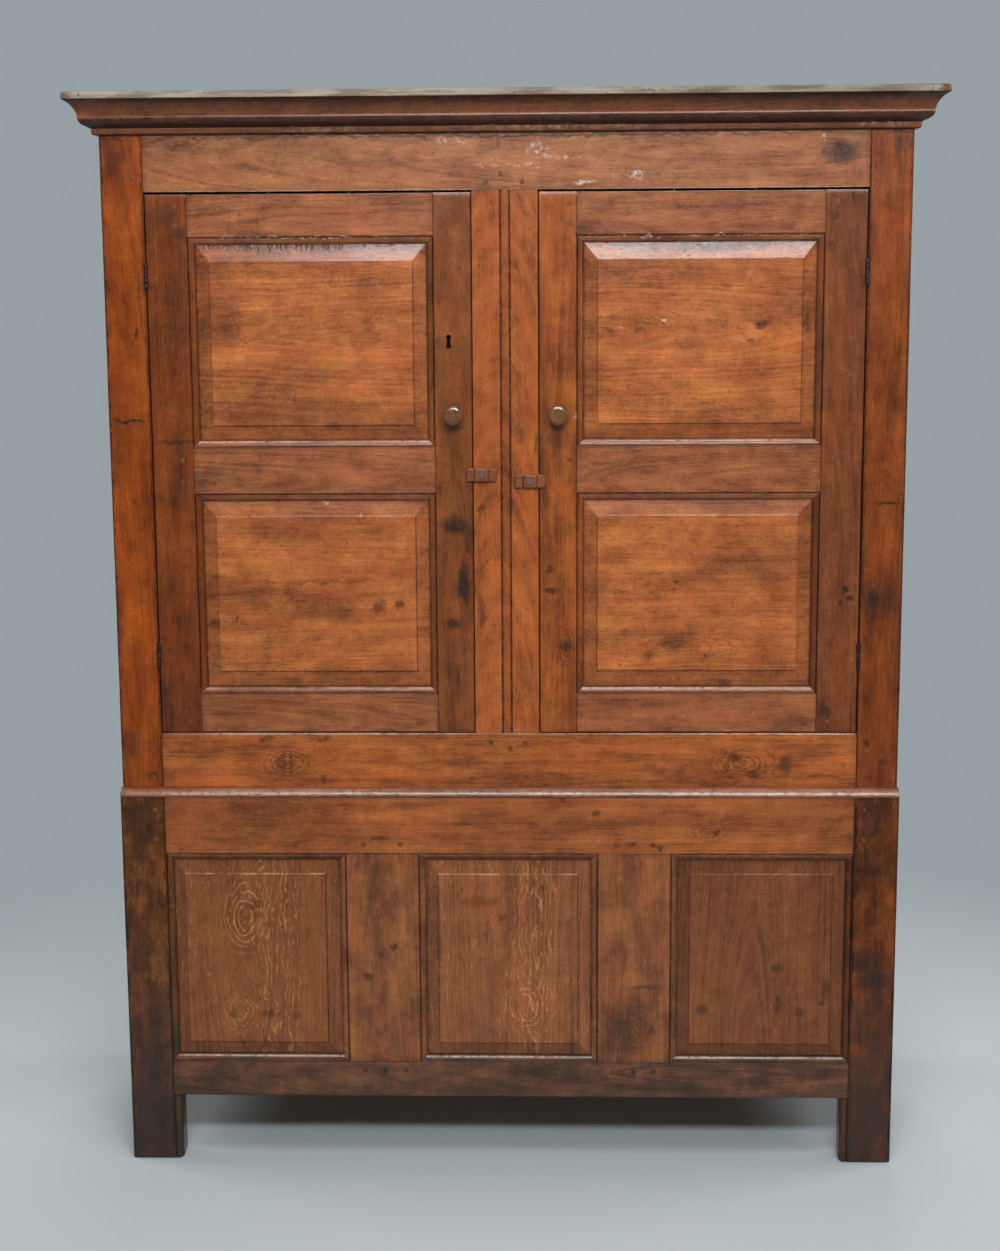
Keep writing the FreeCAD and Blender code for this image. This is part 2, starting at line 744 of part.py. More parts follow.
def door_rail(z0, z1):
    """A door rail with tenons, and a moulded edge wherever it borders a panel."""
    pieces = [board(lock_stile_line, hinge_stile_line, front, front + door_thickness, z0, z1),
              rail_tenon(lock_stile_line, -1, z0, z1, front, door_tenon),
              rail_tenon(hinge_stile_line, 1, z0, z1, front, door_tenon)]
    for bay in door_frame_bays:
        if bay.z0 == z1:
            pieces.append(edge_moulding(bay, "bottom", front, door_thickness))
        if bay.z1 == z0:
            pieces.append(edge_moulding(bay, "top", front, door_thickness))
    return without(joined(pieces), door_grooves + door_holes)


def knob_profile():
    """Half section of the turned knob: spigot, collar, neck, mushroom head with a flat top."""
    rim = knob_length * 0.62
    bevel_start = Vector(knob_radius * 0.86, -knob_length * 0.88, 0)
    flat_edge = Vector(knob_radius * 0.6, -knob_length, 0)
    widest = Vector(knob_radius, -rim, 0)
    stations = [(0, -knob_spigot_length), (knob_spigot_radius, -knob_spigot_length),
                (knob_spigot_radius, 0), (knob_neck_radius * 1.35, 0),
                (knob_neck_radius, knob_length * 0.32)]
    points = [Vector(r, -y, 0) for r, y in stations]
    under = Part.Arc(points[-1], Vector(knob_radius * 0.8, -knob_length * 0.42, 0), widest)
    over = Part.Arc(widest, Vector(knob_radius * 0.98, -knob_length * 0.78, 0), bevel_start)
    loop = [bevel_start, flat_edge, Vector(0, -knob_length, 0), points[0]]
    lines = [Part.makeLine(a, b) for a, b in zip(points, points[1:])]
    closing = [Part.makeLine(a, b) for a, b in zip(loop, loop[1:])]
    return Part.Face(Part.Wire(lines + [under.toShape(), over.toShape()] + closing))


knob_x = door_free_edge + lock_stile_face / 2


def knob():
    turned = knob_profile().revolve(Vector(0, 0, 0), Vector(0, 1, 0), 360)
    turned.translate(Vector(knob_x, front, knob_height))
    return turned


def knob_hole():
    start = Vector(knob_x, front, knob_height)
    return rod(knob_spigot_radius + peg_clearance, start, Vector(0, 1, 0), knob_spigot_length)


keyhole_x = -(door_free_edge + keyhole_inset)


def keyhole():
    """A round eye over a slot that widens downwards, cut right through the stile."""
    eye_z = keyhole_height + keyhole_length / 2 - keyhole_eye_radius
    eye = rod(keyhole_eye_radius, Vector(keyhole_x, front, eye_z), Vector(0, 1, 0),
              door_thickness)
    foot_z = keyhole_height - keyhole_length / 2
    outline = [Vector(keyhole_x - keyhole_foot_width / 2, front, foot_z),
               Vector(keyhole_x + keyhole_foot_width / 2, front, foot_z),
               Vector(keyhole_x + keyhole_foot_width / 3, front, eye_z),
               Vector(keyhole_x - keyhole_foot_width / 3, front, eye_z)]
    slot = Part.Face(Part.makePolygon(outline + outline[:1]))
    return eye.fuse(slot.extrude(Vector(0, door_thickness, 0)))


# ---------------------------------------------------------------- lock

lock_side = -(door_free_edge + lock_setback)
lock_front = front + door_thickness
bolt_bottom = keyhole_height + bolt_rise - bolt_height / 2
bolt_front = lock_front + (lock_thickness - lock_wall - bolt_thickness) / 2


def lock_case():
    """The iron box on the back of the left door, open towards the wood, with the key's pin."""
    x0, x1 = lock_side - lock_width, lock_side
    z0, z1 = keyhole_height - lock_height / 2, keyhole_height + lock_height / 2
    shell = board(x0, x1, lock_front, lock_front + lock_thickness, z0, z1)
    hollow = board(x0 + lock_wall, x1 - lock_wall, lock_front,
                   lock_front + lock_thickness - lock_wall, z0 + lock_wall, z1 - lock_wall)
    mouth = board(x1 - lock_wall, x1, bolt_front - bolt_clearance,
                  bolt_front + bolt_thickness + bolt_clearance,
                  bolt_bottom - bolt_clearance, bolt_bottom + bolt_height + bolt_clearance)
    pin = rod(key_pin_radius, Vector(keyhole_x, lock_front, keyhole_height),
              Vector(0, 1, 0), lock_thickness)
    return joined([without(shell, [hollow, mouth]), pin])


def lock_bolt():
    return board(lock_side - bolt_length, lock_side, bolt_front, bolt_front + bolt_thickness,
                 bolt_bottom, bolt_bottom + bolt_height)


# ---------------------------------------------------------------- turn buttons

def turn_button(x, z):
    """A wooden button: a thick middle with a thinner arm on each side."""
    y1 = front - button_gap
    arms = board(x - button_length / 2, x + button_length / 2, y1 - button_arm_thickness, y1,
                 z - button_width / 2, z + button_width / 2)
    boss = board(x - button_boss_width / 2, x + button_boss_width / 2,
                 y1 - button_boss_thickness, y1, z - button_width / 2, z + button_width / 2)
    bore = rod(screw_radius + running_clearance, Vector(x, y1 - button_boss_thickness, z),
               Vector(0, 1, 0), button_boss_thickness)
    return without(joined([arms, boss]), [bore])


def screw_hole(x, z):
    return rod(screw_radius + peg_clearance, Vector(x, front, z), Vector(0, 1, 0), screw_depth)


def button_screw(x, z):
    """A slotted screw through a button into the muntin."""
    under_head = front - 2 * button_gap - button_boss_thickness
    shank = rod(screw_radius, Vector(x, under_head, z), Vector(0, 1, 0),
                front + screw_depth - under_head)
    head_top = under_head - screw_head_height
    head = rod(screw_head_radius, Vector(x, head_top, z), Vector(0, 1, 0), screw_head_height)
    slot = board(x - screw_head_radius, x + screw_head_radius, head_top,
                 head_top + screw_head_height / 2, z - screw_slot_width / 2,
                 z + screw_slot_width / 2)
    return without(joined([shank, head]), [slot])


# ---------------------------------------------------------------- base

def front_leg():
    """The right-hand front leg. Its moulded edge runs on down the foot."""
    strip_edge = leg_edge - moulding_width
    foot = Bay(base_muntin_outer, leg_edge, 0, foot_height)
    pieces = [board(leg_edge, half_base, base_front, base_front + post_depth, 0, base_height),
              board(strip_edge, leg_edge, base_front + base_frame_thickness,
                    base_front + post_depth, 0, base_height),
              edge_moulding(base_right_bay, "right", base_front, base_frame_thickness),
              edge_moulding(foot, "right", base_front, base_frame_thickness, mitred=False)]
    mortises = [rail_tenon(leg_edge, 1, z0, z1, base_front, post_tenon + mortise_slack)
                for z0, z1 in ((foot_height, base_bay_bottom), (base_bay_top, base_height))]
    grooves = [panel_groove(sight(base_right_bay), base_front)]
    return without(joined(pieces), mortises + grooves + base_side_spaces + base_holes)


base_bays = [base_left_bay, base_middle_bay, base_right_bay]
base_grooves = [panel_groove(sight(bay), base_front) for bay in base_bays]


def base_rail(z0, z1, side):
    """A front rail of the base, moulded along each bay, with mortises for the muntins."""
    pieces = [board(-leg_edge, leg_edge, base_front, base_front + base_frame_thickness, z0, z1),
              rail_tenon(leg_edge, 1, z0, z1, base_front, post_tenon),
              rail_tenon(-leg_edge, -1, z0, z1, base_front, post_tenon)]
    pieces += [edge_moulding(bay, side, base_front, base_frame_thickness) for bay in base_bays]
    shoulder, toward = (z1, -1) if side == "bottom" else (z0, 1)
    mortise = muntin_end_tenon(shoulder, toward, base_muntin_inner, base_muntin_outer,
                               base_front, muntin_tenon + mortise_slack)
    return without(joined(pieces), both_sides(mortise) + base_grooves + base_holes)


def base_muntin():
    """The right-hand upright of the base, moulded on both edges."""
    pieces = [board(base_muntin_inner, base_muntin_outer, base_front,
                    base_front + base_frame_thickness, base_bay_bottom, base_bay_top),
              muntin_end_tenon(base_bay_top, 1, base_muntin_inner, base_muntin_outer,
                               base_front, muntin_tenon),
              muntin_end_tenon(base_bay_bottom, -1, base_muntin_inner, base_muntin_outer,
                               base_front, muntin_tenon),
              edge_moulding(base_middle_bay, "right", base_front, base_frame_thickness),
              edge_moulding(base_right_bay, "left", base_front, base_frame_thickness)]
    return without(joined(pieces), base_grooves + base_holes)


def waist_moulding():
    """A rounded nosing that lies on the base and runs along the foot of the upper stage."""
    nose = base_front - nosing_overhang
    radius = nosing_height / 2
    low, high = base_height, base_height + nosing_height
    under, over = Vector(0, nose + radius, low), Vector(0, nose + radius, high)
    edges = [Part.Arc(under, Vector(0, nose, low + radius), over).toShape()]
    loop = [over, Vector(0, front, high), Vector(0, front, low), under]
    edges += [Part.makeLine(a, b) for a, b in zip(loop, loop[1:])]
    strip = Part.Face(Part.Wire(edges)).extrude(Vector(2 * half_base, 0, 0))
    strip.translate(Vector(-half_base, 0, 0))
    return strip


def base_boards():
    """Boards that close the bottom of the base, laid from front to back on two cleats."""
    end = half_base - side_thickness - notch_clearance
    y0, y1 = base_front + base_frame_thickness, back_rail_front
    boards = [board(x0, x1, y0, y1, base_floor_height, base_floor_height + floor_thickness)
              for x0, x1 in spread(-end, end, base_board_count, board_gap)]
    return notched(boards, base_posts_clear)


def base_cleats():
    """Cleats on the backs of the front and back bottom rails."""
    front_end = leg_edge - moulding_width
    rear_end = half_base - rear_post_width
    z0, z1 = base_floor_height - base_cleat_size, base_floor_height
    y0 = base_front + base_frame_thickness
    return [board(-front_end, front_end, y0, y0 + base_cleat_size, z0, z1),
            board(-rear_end, rear_end, back_rail_front - base_cleat_size, back_rail_front, z0, z1)]


# ---------------------------------------------------------------- all the nodes

def add(name, pieces):
    nodes[name] = Part.makeCompound(pieces) if len(pieces) > 1 else pieces[0]


right_post = upper_post()
add("upper_post_right", [right_post])
add("upper_post_left", [mirrored(right_post)])
add("upper_top_rail", [upper_rail(opening_top, frame_top, 1)])
add("upper_bottom_rail", [upper_rail(base_height, opening_bottom, -1)])
add("centre_muntin", [centre_muntin()])
add("upper_side_rails", upper_side_rails + [mirrored(rail) for rail in upper_side_rails])
add("upper_side_panels", upper_side_panels + [mirrored(panel) for panel in upper_side_panels])
add("upper_back_frame", back_frame(half_upper, upper_back_rails, base_height, frame_top,
                                   upper_side_spaces + bearer_spaces, joist_spaces))
add("upper_back_boards", back_boards(half_upper, base_height, frame_top))
add("top_boards", top_boards())
cornice_front, cornice_returns = cornice_pieces()
add("cornice_front", [cornice_front])
add("cornice_returns", cornice_returns)
add("shelf_lower", shelf(lower_shelf_top))
add("shelf_upper", shelf(upper_shelf_top))
add("floor_boards", floor_boards())
bearers = [piece for top in bearer_tops for piece in both_sides(side_bearer(top))]
add("bearers", bearers + both_sides(joined(list(joist()))) + base_cleats())
add("well_cover", well_cover())
add("door_stops", both_sides(door_stop()))

lock_stile = door_stile(door_free_edge, lock_stile_line, lock_stile_line, -1, "left")
lock_stile = without(lock_stile, [knob_hole()])
hinge_stile = door_stile(hinge_stile_line, door_hinge_edge, hinge_stile_line, 1, "right")
hinge_stile = without(hinge_stile,
                      [leaf_pocket(middle, door_hinge_edge, -1) for middle in hinge_middles])
add("right_door_lock_stile", [lock_stile])
add("left_door_lock_stile", [without(mirrored(lock_stile), [keyhole()])])
add("right_door_hinge_stile", [hinge_stile])
add("left_door_hinge_stile", [mirrored(hinge_stile)])
for rail_name, (rail_bottom, rail_top) in door_rails.items():
    rail = door_rail(rail_bottom, rail_top)
    add("right_door_" + rail_name, [rail])
    add("left_door_" + rail_name, [mirrored(rail)])
for panel_name, bay in (("upper_panel", door_upper_bay), ("lower_panel", door_lower_bay)):
    panel = fielded_panel(sight(bay), front, door_bevel_side, door_bevel_end)
    add("right_door_" + panel_name, [panel])
    add("left_door_" + panel_name, [mirrored(panel)])
add("right_knob", [knob()])
add("left_knob", [mirrored(knob())])
door_pegs = [peg(x, z, front) for x, z in door_peg_places()]
add("right_door_pegs", door_pegs)
add("left_door_pegs", [mirrored(piece) for piece in door_pegs])

frame_leaves = [hinge_leaf(middle, opening_edge, 1, 0) for middle in hinge_middles]
door_leaves = [hinge_leaf(middle, door_hinge_edge, -1, 1) for middle in hinge_middles]
pins = [hinge_pin(middle) for middle in hinge_middles]
add("hinge_leaves_frame", frame_leaves + [mirrored(leaf) for leaf in frame_leaves])
add("hinge_leaves_right_door", door_leaves)
add("hinge_leaves_left_door", [mirrored(leaf) for leaf in door_leaves])
add("hinge_pins", pins + [mirrored(pin) for pin in pins])

button_x = half_muntin - button_inset
add("right_turn_button", [turn_button(button_x, right_button_height)])
add("left_turn_button", [turn_button(-button_x, left_button_height)])
add("turn_button_screws", [button_screw(button_x, right_button_height),
                           button_screw(-button_x, left_button_height)])
add("lock_case", [lock_case()])
add("lock_bolt", [lock_bolt()])

right_leg = front_leg()
add("base_leg_right", [right_leg])
add("base_leg_left", [mirrored(right_leg)])
add("base_top_rail", [base_rail(base_bay_top, base_height, "top")])
add("base_bottom_rail", [base_rail(foot_height, base_bay_bottom, "bottom")])
add("base_muntins", both_sides(base_muntin()))
for panel_name, bay in (("left", base_left_bay), ("centre", base_middle_bay),
                        ("right", base_right_bay)):
    add("base_panel_" + panel_name,
        [fielded_panel(sight(bay), base_front, base_bevel, base_bevel)])
add("base_side_rails", base_side_rails + [mirrored(rail) for rail in base_side_rails])
add("base_side_panels", base_side_panels + [mirrored(panel) for panel in base_side_panels])
add("base_back_frame", back_frame(half_base, base_back_rails, 0, base_height,
                                  base_side_spaces, []))
add("base_back_boards", back_boards(half_base, foot_height, base_height))
add("base_boards", base_boards())
add("waist_moulding", [waist_moulding()])
frame_pegs = [peg(sign * x, z, front) for x, z in upper_post_pegs for sign in (1, -1)]
frame_pegs += [peg(x, z, front) for x, z in muntin_pegs]
frame_pegs += [peg(sign * x, z, base_front)
               for x, z in leg_pegs + base_muntin_pegs for sign in (1, -1)]
add("frame_pegs", frame_pegs)

os.makedirs("parts", exist_ok=True)
for name, shape in sorted(nodes.items()):
    shape.exportStep("parts/" + name + ".step")
    print(name, len(shape.Solids), round(shape.Volume), shape.isValid())
print(len(nodes), "nodes")
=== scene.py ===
# %% [markdown]
# # An oak linen press
# A press like this is joiner's work: a low panelled base on four legs, and on it a taller stage
# with two panelled doors and a cornice. Its boards are planed and pegged by hand, then waxed
# and handled for generations. The construction comes in as a frame of plain solids. Each board
# is now made again as a surface with soft arrises and slightly uneven faces, because a
# perfectly sharp box is what gives a model away. Iron parts, pegs, and boards that are seen only
# when the doors are open keep their solids and get a finish.

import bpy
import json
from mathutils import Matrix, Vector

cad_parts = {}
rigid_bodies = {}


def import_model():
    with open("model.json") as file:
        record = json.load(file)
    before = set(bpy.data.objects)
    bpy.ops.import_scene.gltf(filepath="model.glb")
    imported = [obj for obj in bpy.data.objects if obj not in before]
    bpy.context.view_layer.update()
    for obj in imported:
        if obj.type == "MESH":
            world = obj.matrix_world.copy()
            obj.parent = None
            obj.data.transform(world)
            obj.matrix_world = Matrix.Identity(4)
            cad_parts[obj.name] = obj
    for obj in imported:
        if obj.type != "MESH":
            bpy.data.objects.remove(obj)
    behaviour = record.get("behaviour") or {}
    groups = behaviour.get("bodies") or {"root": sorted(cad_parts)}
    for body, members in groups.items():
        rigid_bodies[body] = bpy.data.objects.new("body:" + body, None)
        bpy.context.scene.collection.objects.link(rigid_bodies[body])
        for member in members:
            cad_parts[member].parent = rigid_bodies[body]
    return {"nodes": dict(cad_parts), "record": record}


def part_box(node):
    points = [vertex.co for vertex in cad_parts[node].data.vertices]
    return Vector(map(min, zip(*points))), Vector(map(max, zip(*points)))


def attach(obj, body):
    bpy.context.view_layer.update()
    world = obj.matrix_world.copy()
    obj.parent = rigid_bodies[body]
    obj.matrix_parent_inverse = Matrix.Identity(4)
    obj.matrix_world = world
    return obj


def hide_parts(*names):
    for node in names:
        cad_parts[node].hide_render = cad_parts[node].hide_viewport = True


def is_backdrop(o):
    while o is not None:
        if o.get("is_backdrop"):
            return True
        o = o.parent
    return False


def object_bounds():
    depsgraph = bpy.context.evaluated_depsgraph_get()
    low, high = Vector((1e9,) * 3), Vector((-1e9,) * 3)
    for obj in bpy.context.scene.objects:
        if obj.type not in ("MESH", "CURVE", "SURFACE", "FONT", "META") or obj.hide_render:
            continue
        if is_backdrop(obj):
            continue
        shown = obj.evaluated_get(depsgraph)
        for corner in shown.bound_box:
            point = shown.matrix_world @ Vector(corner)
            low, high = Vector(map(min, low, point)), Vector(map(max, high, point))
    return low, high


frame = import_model()
cad_box = [list(corner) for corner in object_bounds()]

import json
from collections import namedtuple

import bpy
import numpy as np
from mathutils import Matrix

NODES, BODIES = frame["nodes"], frame["record"]["behaviour"]["bodies"]
BODY_OF = {node: body for body, members in BODIES.items() for node in members}


def limits(node):
    """The lowest and highest corners of a CAD node, as two arrays in metres."""
    low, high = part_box(node)
    return np.array(low), np.array(high)


MOULDING = 0.0125        # width of the moulding run on a member's edge
TONGUE = 0.009           # how far a panel reaches into its groove
PANEL_EDGE = 0.006       # thickness of that tongue
FIELD_STEP = 0.0018      # the small step round a raised field

right_post = limits("upper_post_right")
opening_x = right_post[0][0]
face_y = right_post[0][1]
post_back_y = right_post[1][1]
frame_top_z = right_post[1][2]
half_upper = right_post[1][0]
opening_z = limits("upper_bottom_rail")[1][2], limits("upper_top_rail")[0][2]
stage_z = right_post[0][2]
frame_back_y = limits("upper_top_rail")[1][1]
right_leg = limits("base_leg_right")
leg_x, half_base = right_leg[0][0] + MOULDING, right_leg[1][0]
base_face_y, base_top_z = right_leg[0][1], right_leg[1][2]
base_back_y = limits("base_top_rail")[1][1]
foot_z = limits("base_bottom_rail")[0][2]
back_y = limits("upper_back_boards")[1][1]
print("frame:", len(NODES), "nodes; doors' opening", round(2 * opening_x, 4), "wide")

# %% [markdown]
# ## Unevenness
# A hand plane leaves long shallow waves, and wear rounds an edge more in one place than in the
# next. Random numbers at each point would look like sand. A sum of a few sines, each shorter
# and weaker than the last, gives a value that drifts, and a seed for each board makes the same board
# again on every run.

# %% A value that drifts along a board


def drift(seed, *where, longest=0.5, shortest=0.04, waves=6):
    """A smooth value between 0 and 1: sines of shrinking length, added and scaled back."""
    rng = np.random.default_rng(seed)
    total, most = 0.0, 0.0
    for length in np.geomspace(longest, shortest, waves):
        heading = rng.normal(size=len(where))
        heading /= np.linalg.norm(heading)
        phase = rng.uniform(0, 2 * np.pi)
        travel = sum(part * place for part, place in zip(heading, where))
        total = total + np.sqrt(length) * np.sin(2 * np.pi * travel / length + phase)
        most += np.sqrt(length)
    return 0.5 + 0.5 * total / most


samples = drift(1, np.linspace(0, 1, 200))
print("drift runs from", samples.min().round(2), "to", samples.max().round(2))

# %% [markdown]
# ## Skins
# A board, a moulding, a knob and a cornice are all a closed outline carried along a path, so
# they share one kind of grid: rows along the path, columns round the outline. Every point also
# carries where it lies in its own board (along the grain, across it, and through it), a lot
# number for the board, and its dirt and painted light: above zero, how much dirt gathers there
# and how much shade is painted where shade falls, and below zero, how far the wax is rubbed
# pale and how much highlight is painted where light catches. The wood finish reads these
# values, so grain always runs with the board, whichever way the board stands.

# %% Grids into closed skins
Skin = namedtuple("Skin", "points faces place lot dirt")


def lot_number(seed):
    """Where in the timber a board is cut from: far from the boards with other seeds."""
    return (seed * 7.31) % 40


def shifted(made, *steps):
    """The same skin moved by the sum of some steps in space."""
    return made._replace(points=made.points + sum(np.array(step, float) for step in steps))


def outward(points, faces):
    """The faces, all turned round if the skin is inside out.

    The sum of a.(b x c) over its triangles is six times the volume: positive when faces
    point outwards.
    """
    volume = 0.0
    for face in faces:
        corners = points[face]
        first = corners[..., :1, :]
        turn = np.cross(corners[..., 1:-1, :], corners[..., 2:, :])
        volume += np.sum(first * turn)
    return faces if volume > 0 else [face[..., ::-1] for face in faces]


def skin(points, place, lot, dirt):
    """A closed skin from a grid whose rows are closed outlines: quads, and one face per end."""
    rows, around = points.shape[:2]
    count = np.arange(rows * around).reshape(rows, around)
    ahead = np.roll(count, -1, 1)
    quads = np.stack([count[:-1], ahead[:-1], ahead[1:], count[1:]], -1).reshape(-1, 4)
    ends = [count[:1, ::-1], count[-1:]]
    flat = points.reshape(-1, 3)
    dirt = np.broadcast_to(dirt, (rows, around)).reshape(-1)
    return Skin(flat, outward(flat, [quads] + ends), place.reshape(-1, 3), lot, dirt)


def stand(name, data):
    """A new object for some data, unturned at the origin and linked into the scene."""
    made = bpy.data.objects.new(name, data)
    bpy.context.scene.collection.objects.link(made)
    return made


def make(name, skins, body, material, sharp=40.0):
    """One object from several closed skins, with its three painted values, riding on a body."""
    mesh = bpy.data.meshes.new(name)
    faces, start = [], 0
    for one in skins:
        for block in one.faces:
            faces += (block + start).tolist()
        start += len(one.points)
    mesh.from_pydata(np.concatenate([one.points for one in skins]), [], faces)
    values = {"place": np.concatenate([one.place for one in skins]),
              "lot": np.concatenate([np.full(len(one.points), one.lot) for one in skins]),
              "dirt": np.concatenate([one.dirt for one in skins])}
    for title, value in values.items():
        vector = title == "place"
        layer = mesh.attributes.new(title, "FLOAT_VECTOR" if vector else "FLOAT", "POINT")
        layer.data.foreach_set("vector" if vector else "value", value.astype(np.float32).ravel())
    mesh.shade_smooth()
    mesh.set_sharp_from_angle(angle=np.radians(sharp))
    mesh.materials.append(material)
    piece = stand(name, mesh)
    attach(piece, body)
    return piece


# %% [markdown]
# ## A worn board
# The section of a board is four straight faces joined by quarter circles. Where the radius of
# those quarter circles grows and shrinks along the board, the arris looks rubbed, and a few
# sudden swellings read as dents. The faces are pressed in by less than a millimetre, never
# pushed out, so that a board stays inside the solid it stands for.

# %% Boards
EASE = 0.0008            # a narrow flat beside each rounding, which keeps the face's shading flat
DIRT_BAND = 0.0028       # how far dirt spreads from an arris
# The last value is an arris worn pale, which also paints the highlight that the edge catches.
ARRIS_DIRT, BESIDE_DIRT, END_DIRT, PALE_WORN_AND_HIGHLIT = 0.8, 0.16, 0.30, -0.6
END_BAND = 0.003         # how far dirt spreads from a board's end


def stations(half, ends, step):
    """Places along a board from -half to half, and how far its section is drawn in at each."""
    turn = np.linspace(0, np.pi / 2, 4)
    count = max(3, int(round(2 * half / step)) + 1)
    inner = np.linspace(ends[0] - half, half - ends[1], count)[1:-1]
    near = [end * (1 - np.cos(turn)) for end in ends]
    inset = [end * (1 - np.sin(turn)) for end in ends]
    along = np.concatenate([[-half], near[0] - half, inner, half - near[1][::-1], [half]])
    drawn = np.concatenate([[ends[0] + EASE], inset[0], 0 * inner, inset[1][::-1],
                            [ends[1] + EASE]])
    return along, drawn


def outline(width, thick, arris):
    """Points round a board's section, as (sharp place, pull of the arris, push, dirt, corner)."""
    rows = []
    for corner in range(4):
        start = corner * np.pi / 2
        sign = np.sign([np.cos(start + 0.5), np.sin(start + 0.5)])
        sharp = sign * [width, thick]
        for angle in start + np.linspace(0, np.pi / 2, 4):
            pull = np.array([np.cos(angle), np.sin(angle)]) - sign
            rows.append([*sharp, *pull, *sign, ARRIS_DIRT, corner])
        out = np.round([np.cos(start + np.pi / 2), np.sin(start + np.pi / 2)])
        side = np.array([out[1], -out[0]])
        reach = width if corner % 2 == 0 else thick
        middles = np.linspace(1, -1, 2 + max(0, int(reach / 0.03)))[1:-1] * (reach - DIRT_BAND)
        places = [reach - 2.2 * arris - EASE]
        if reach > 2 * DIRT_BAND:
            places += [reach - DIRT_BAND, *middles, DIRT_BAND - reach]
        places += [-places[0]]
        for place in places:
            spot = out * [width, thick] + side * place
            soiled_and_lit = BESIDE_DIRT if abs(place) > reach - DIRT_BAND else 0.0
            rows.append([*spot, 0, 0, *out, soiled_and_lit, corner])
    rows = np.array(rows)
    return rows[:, 0:2], rows[:, 2:4], rows[:, 4:6], rows[:, 6], rows[:, 7].astype(int)


def turned_box(low, high, order):
    """A box's axes in the order of the grain, with its half sizes and its middle along them."""
    axes = ["xyz".index(letter) for letter in order]
    low, high = np.array(low, float), np.array(high, float)
    return axes, ((high - low) / 2)[axes], ((high + low) / 2)[axes]


def board(low, high, order, seed, arris=0.0008, ends=(0.0004, 0.0004), step=0.012,
          wave=0.0003, chip=0.0, rubbed=()):
    """A board between two corners. order names its axes: along the grain, across, and through.

    Each point is its place on the sharp section, plus the local radius times the arris's pull,
    less the push of the waves; then the whole section shrinks towards each end. The last
    argument lists the arrises that are worn pale and painted with the highlight they catch,
    counted round from the one that is high both across and through.
    """
    axes, half, middle = turned_box(low, high, order)
    along, drawn = stations(half[0], ends, step)
    sharp, pull, push, soiled_and_lit, corner = outline(half[1], half[2], arris)
    radius = np.stack([arris * (0.5 + 0.9 * drift(seed + k, along, shortest=0.03))
                       + chip * np.clip(drift(seed + 9 + k, along, longest=0.2, shortest=0.015)
                                        - 0.68, 0, 1) * 4
                       for k in range(4)], -1)
    section = sharp + radius[:, corner, None] * pull
    lengthwise = np.broadcast_to(along[:, None], section.shape[:2])
    edge_wave = drift(seed + 20, lengthwise + 3.0 * push[:, 0])
    face_wave = drift(seed + 30, lengthwise + 5.0 * push[:, 1], section[..., 0])
    section = section - wave * np.stack([push[:, 0] * (0.2 + edge_wave),
                                         push[:, 1] * (0.2 + face_wave)], -1)
    section = section * (1 - drawn[:, None, None] / half[1:])
    place = np.concatenate([lengthwise[..., None], section], -1)
    points = np.empty_like(place)
    points[..., axes] = place + middle
    soiled_and_lit = np.where((soiled_and_lit == ARRIS_DIRT) & np.isin(corner, rubbed), PALE_WORN_AND_HIGHLIT, soiled_and_lit)
    to_end = half[0] - np.abs(along)
    at_end = END_DIRT * np.clip(1 - to_end / END_BAND, 0, 1)[:, None]
    dirt = np.where(at_end > 0, np.maximum(soiled_and_lit, at_end), soiled_and_lit)
    return skin(points, place, lot_number(seed), dirt)


trial = board((0, 0, 0), (1, 0.1, 0.03), "xyz", 3)
print("a metre of board has", sum(len(block) for block in trial.faces), "faces")

# %% [markdown]
# ## Mouldings
# Such a moulding is run with a scratch stock along the edge of each stile and rail before the
# joints are cut: a small groove called the quirk, a quarter round, and a lip down to the panel.
# At each corner two runs meet in a mitre. Carried along a straight line, a point that lies w
# from the edge simply starts w later and ends w earlier, which is what cuts the mitre.

# %% Outlines carried along a line


def carried(section, along, across, depth, start, end, slide=(0, 0), seed=0, step=0.03,
            dirt=0.0, wave=0.0002, ease=0.0):
    """A closed outline of (w, d) points carried from start to end along one axis.

    along, across and depth are unit vectors, and start and end are distances along the first.
    Point (w, d) runs from start + slide[0] w to end + slide[1] w. ease rounds the ends by
    drawing the outline in towards its own middle.
    """
    section = np.array(section, float)
    rows = max(2, int(round(abs(end - start) / step)) + 1)
    share, drawn = np.linspace(0, 1, rows), np.zeros(rows)
    if ease:
        length = abs(end - start)
        along_half, inset = stations(length / 2, (ease, ease), step)
        share, drawn = along_half / length + 0.5, inset
    first = start + slide[0] * section[:, 0]
    last = end + slide[1] * section[:, 0]
    run = first + share[:, None] * (last - first)
    middle = (section.max(0) + section.min(0)) / 2
    size = (section.max(0) - section.min(0)) / 2
    shape = middle + (section - middle) * (1 - drawn[:, None, None] / size)
    sway = wave * drift(seed + 40, run)
    w, d = shape[..., 0] - sway, np.minimum(shape[..., 1] + sway / 2, section[:, 1].max())
    points = (run[..., None] * np.array(along) + w[..., None] * np.array(across)
              + d[..., None] * np.array(depth))
    return skin(points, np.stack([run, w, d], -1), lot_number(seed), dirt)


GROOVE = (0.00895, 0.01505)     # the two walls of the panel's groove, behind the face
GROOVE_FLOOR = 0.002            # and its floor, in from where the moulding starts


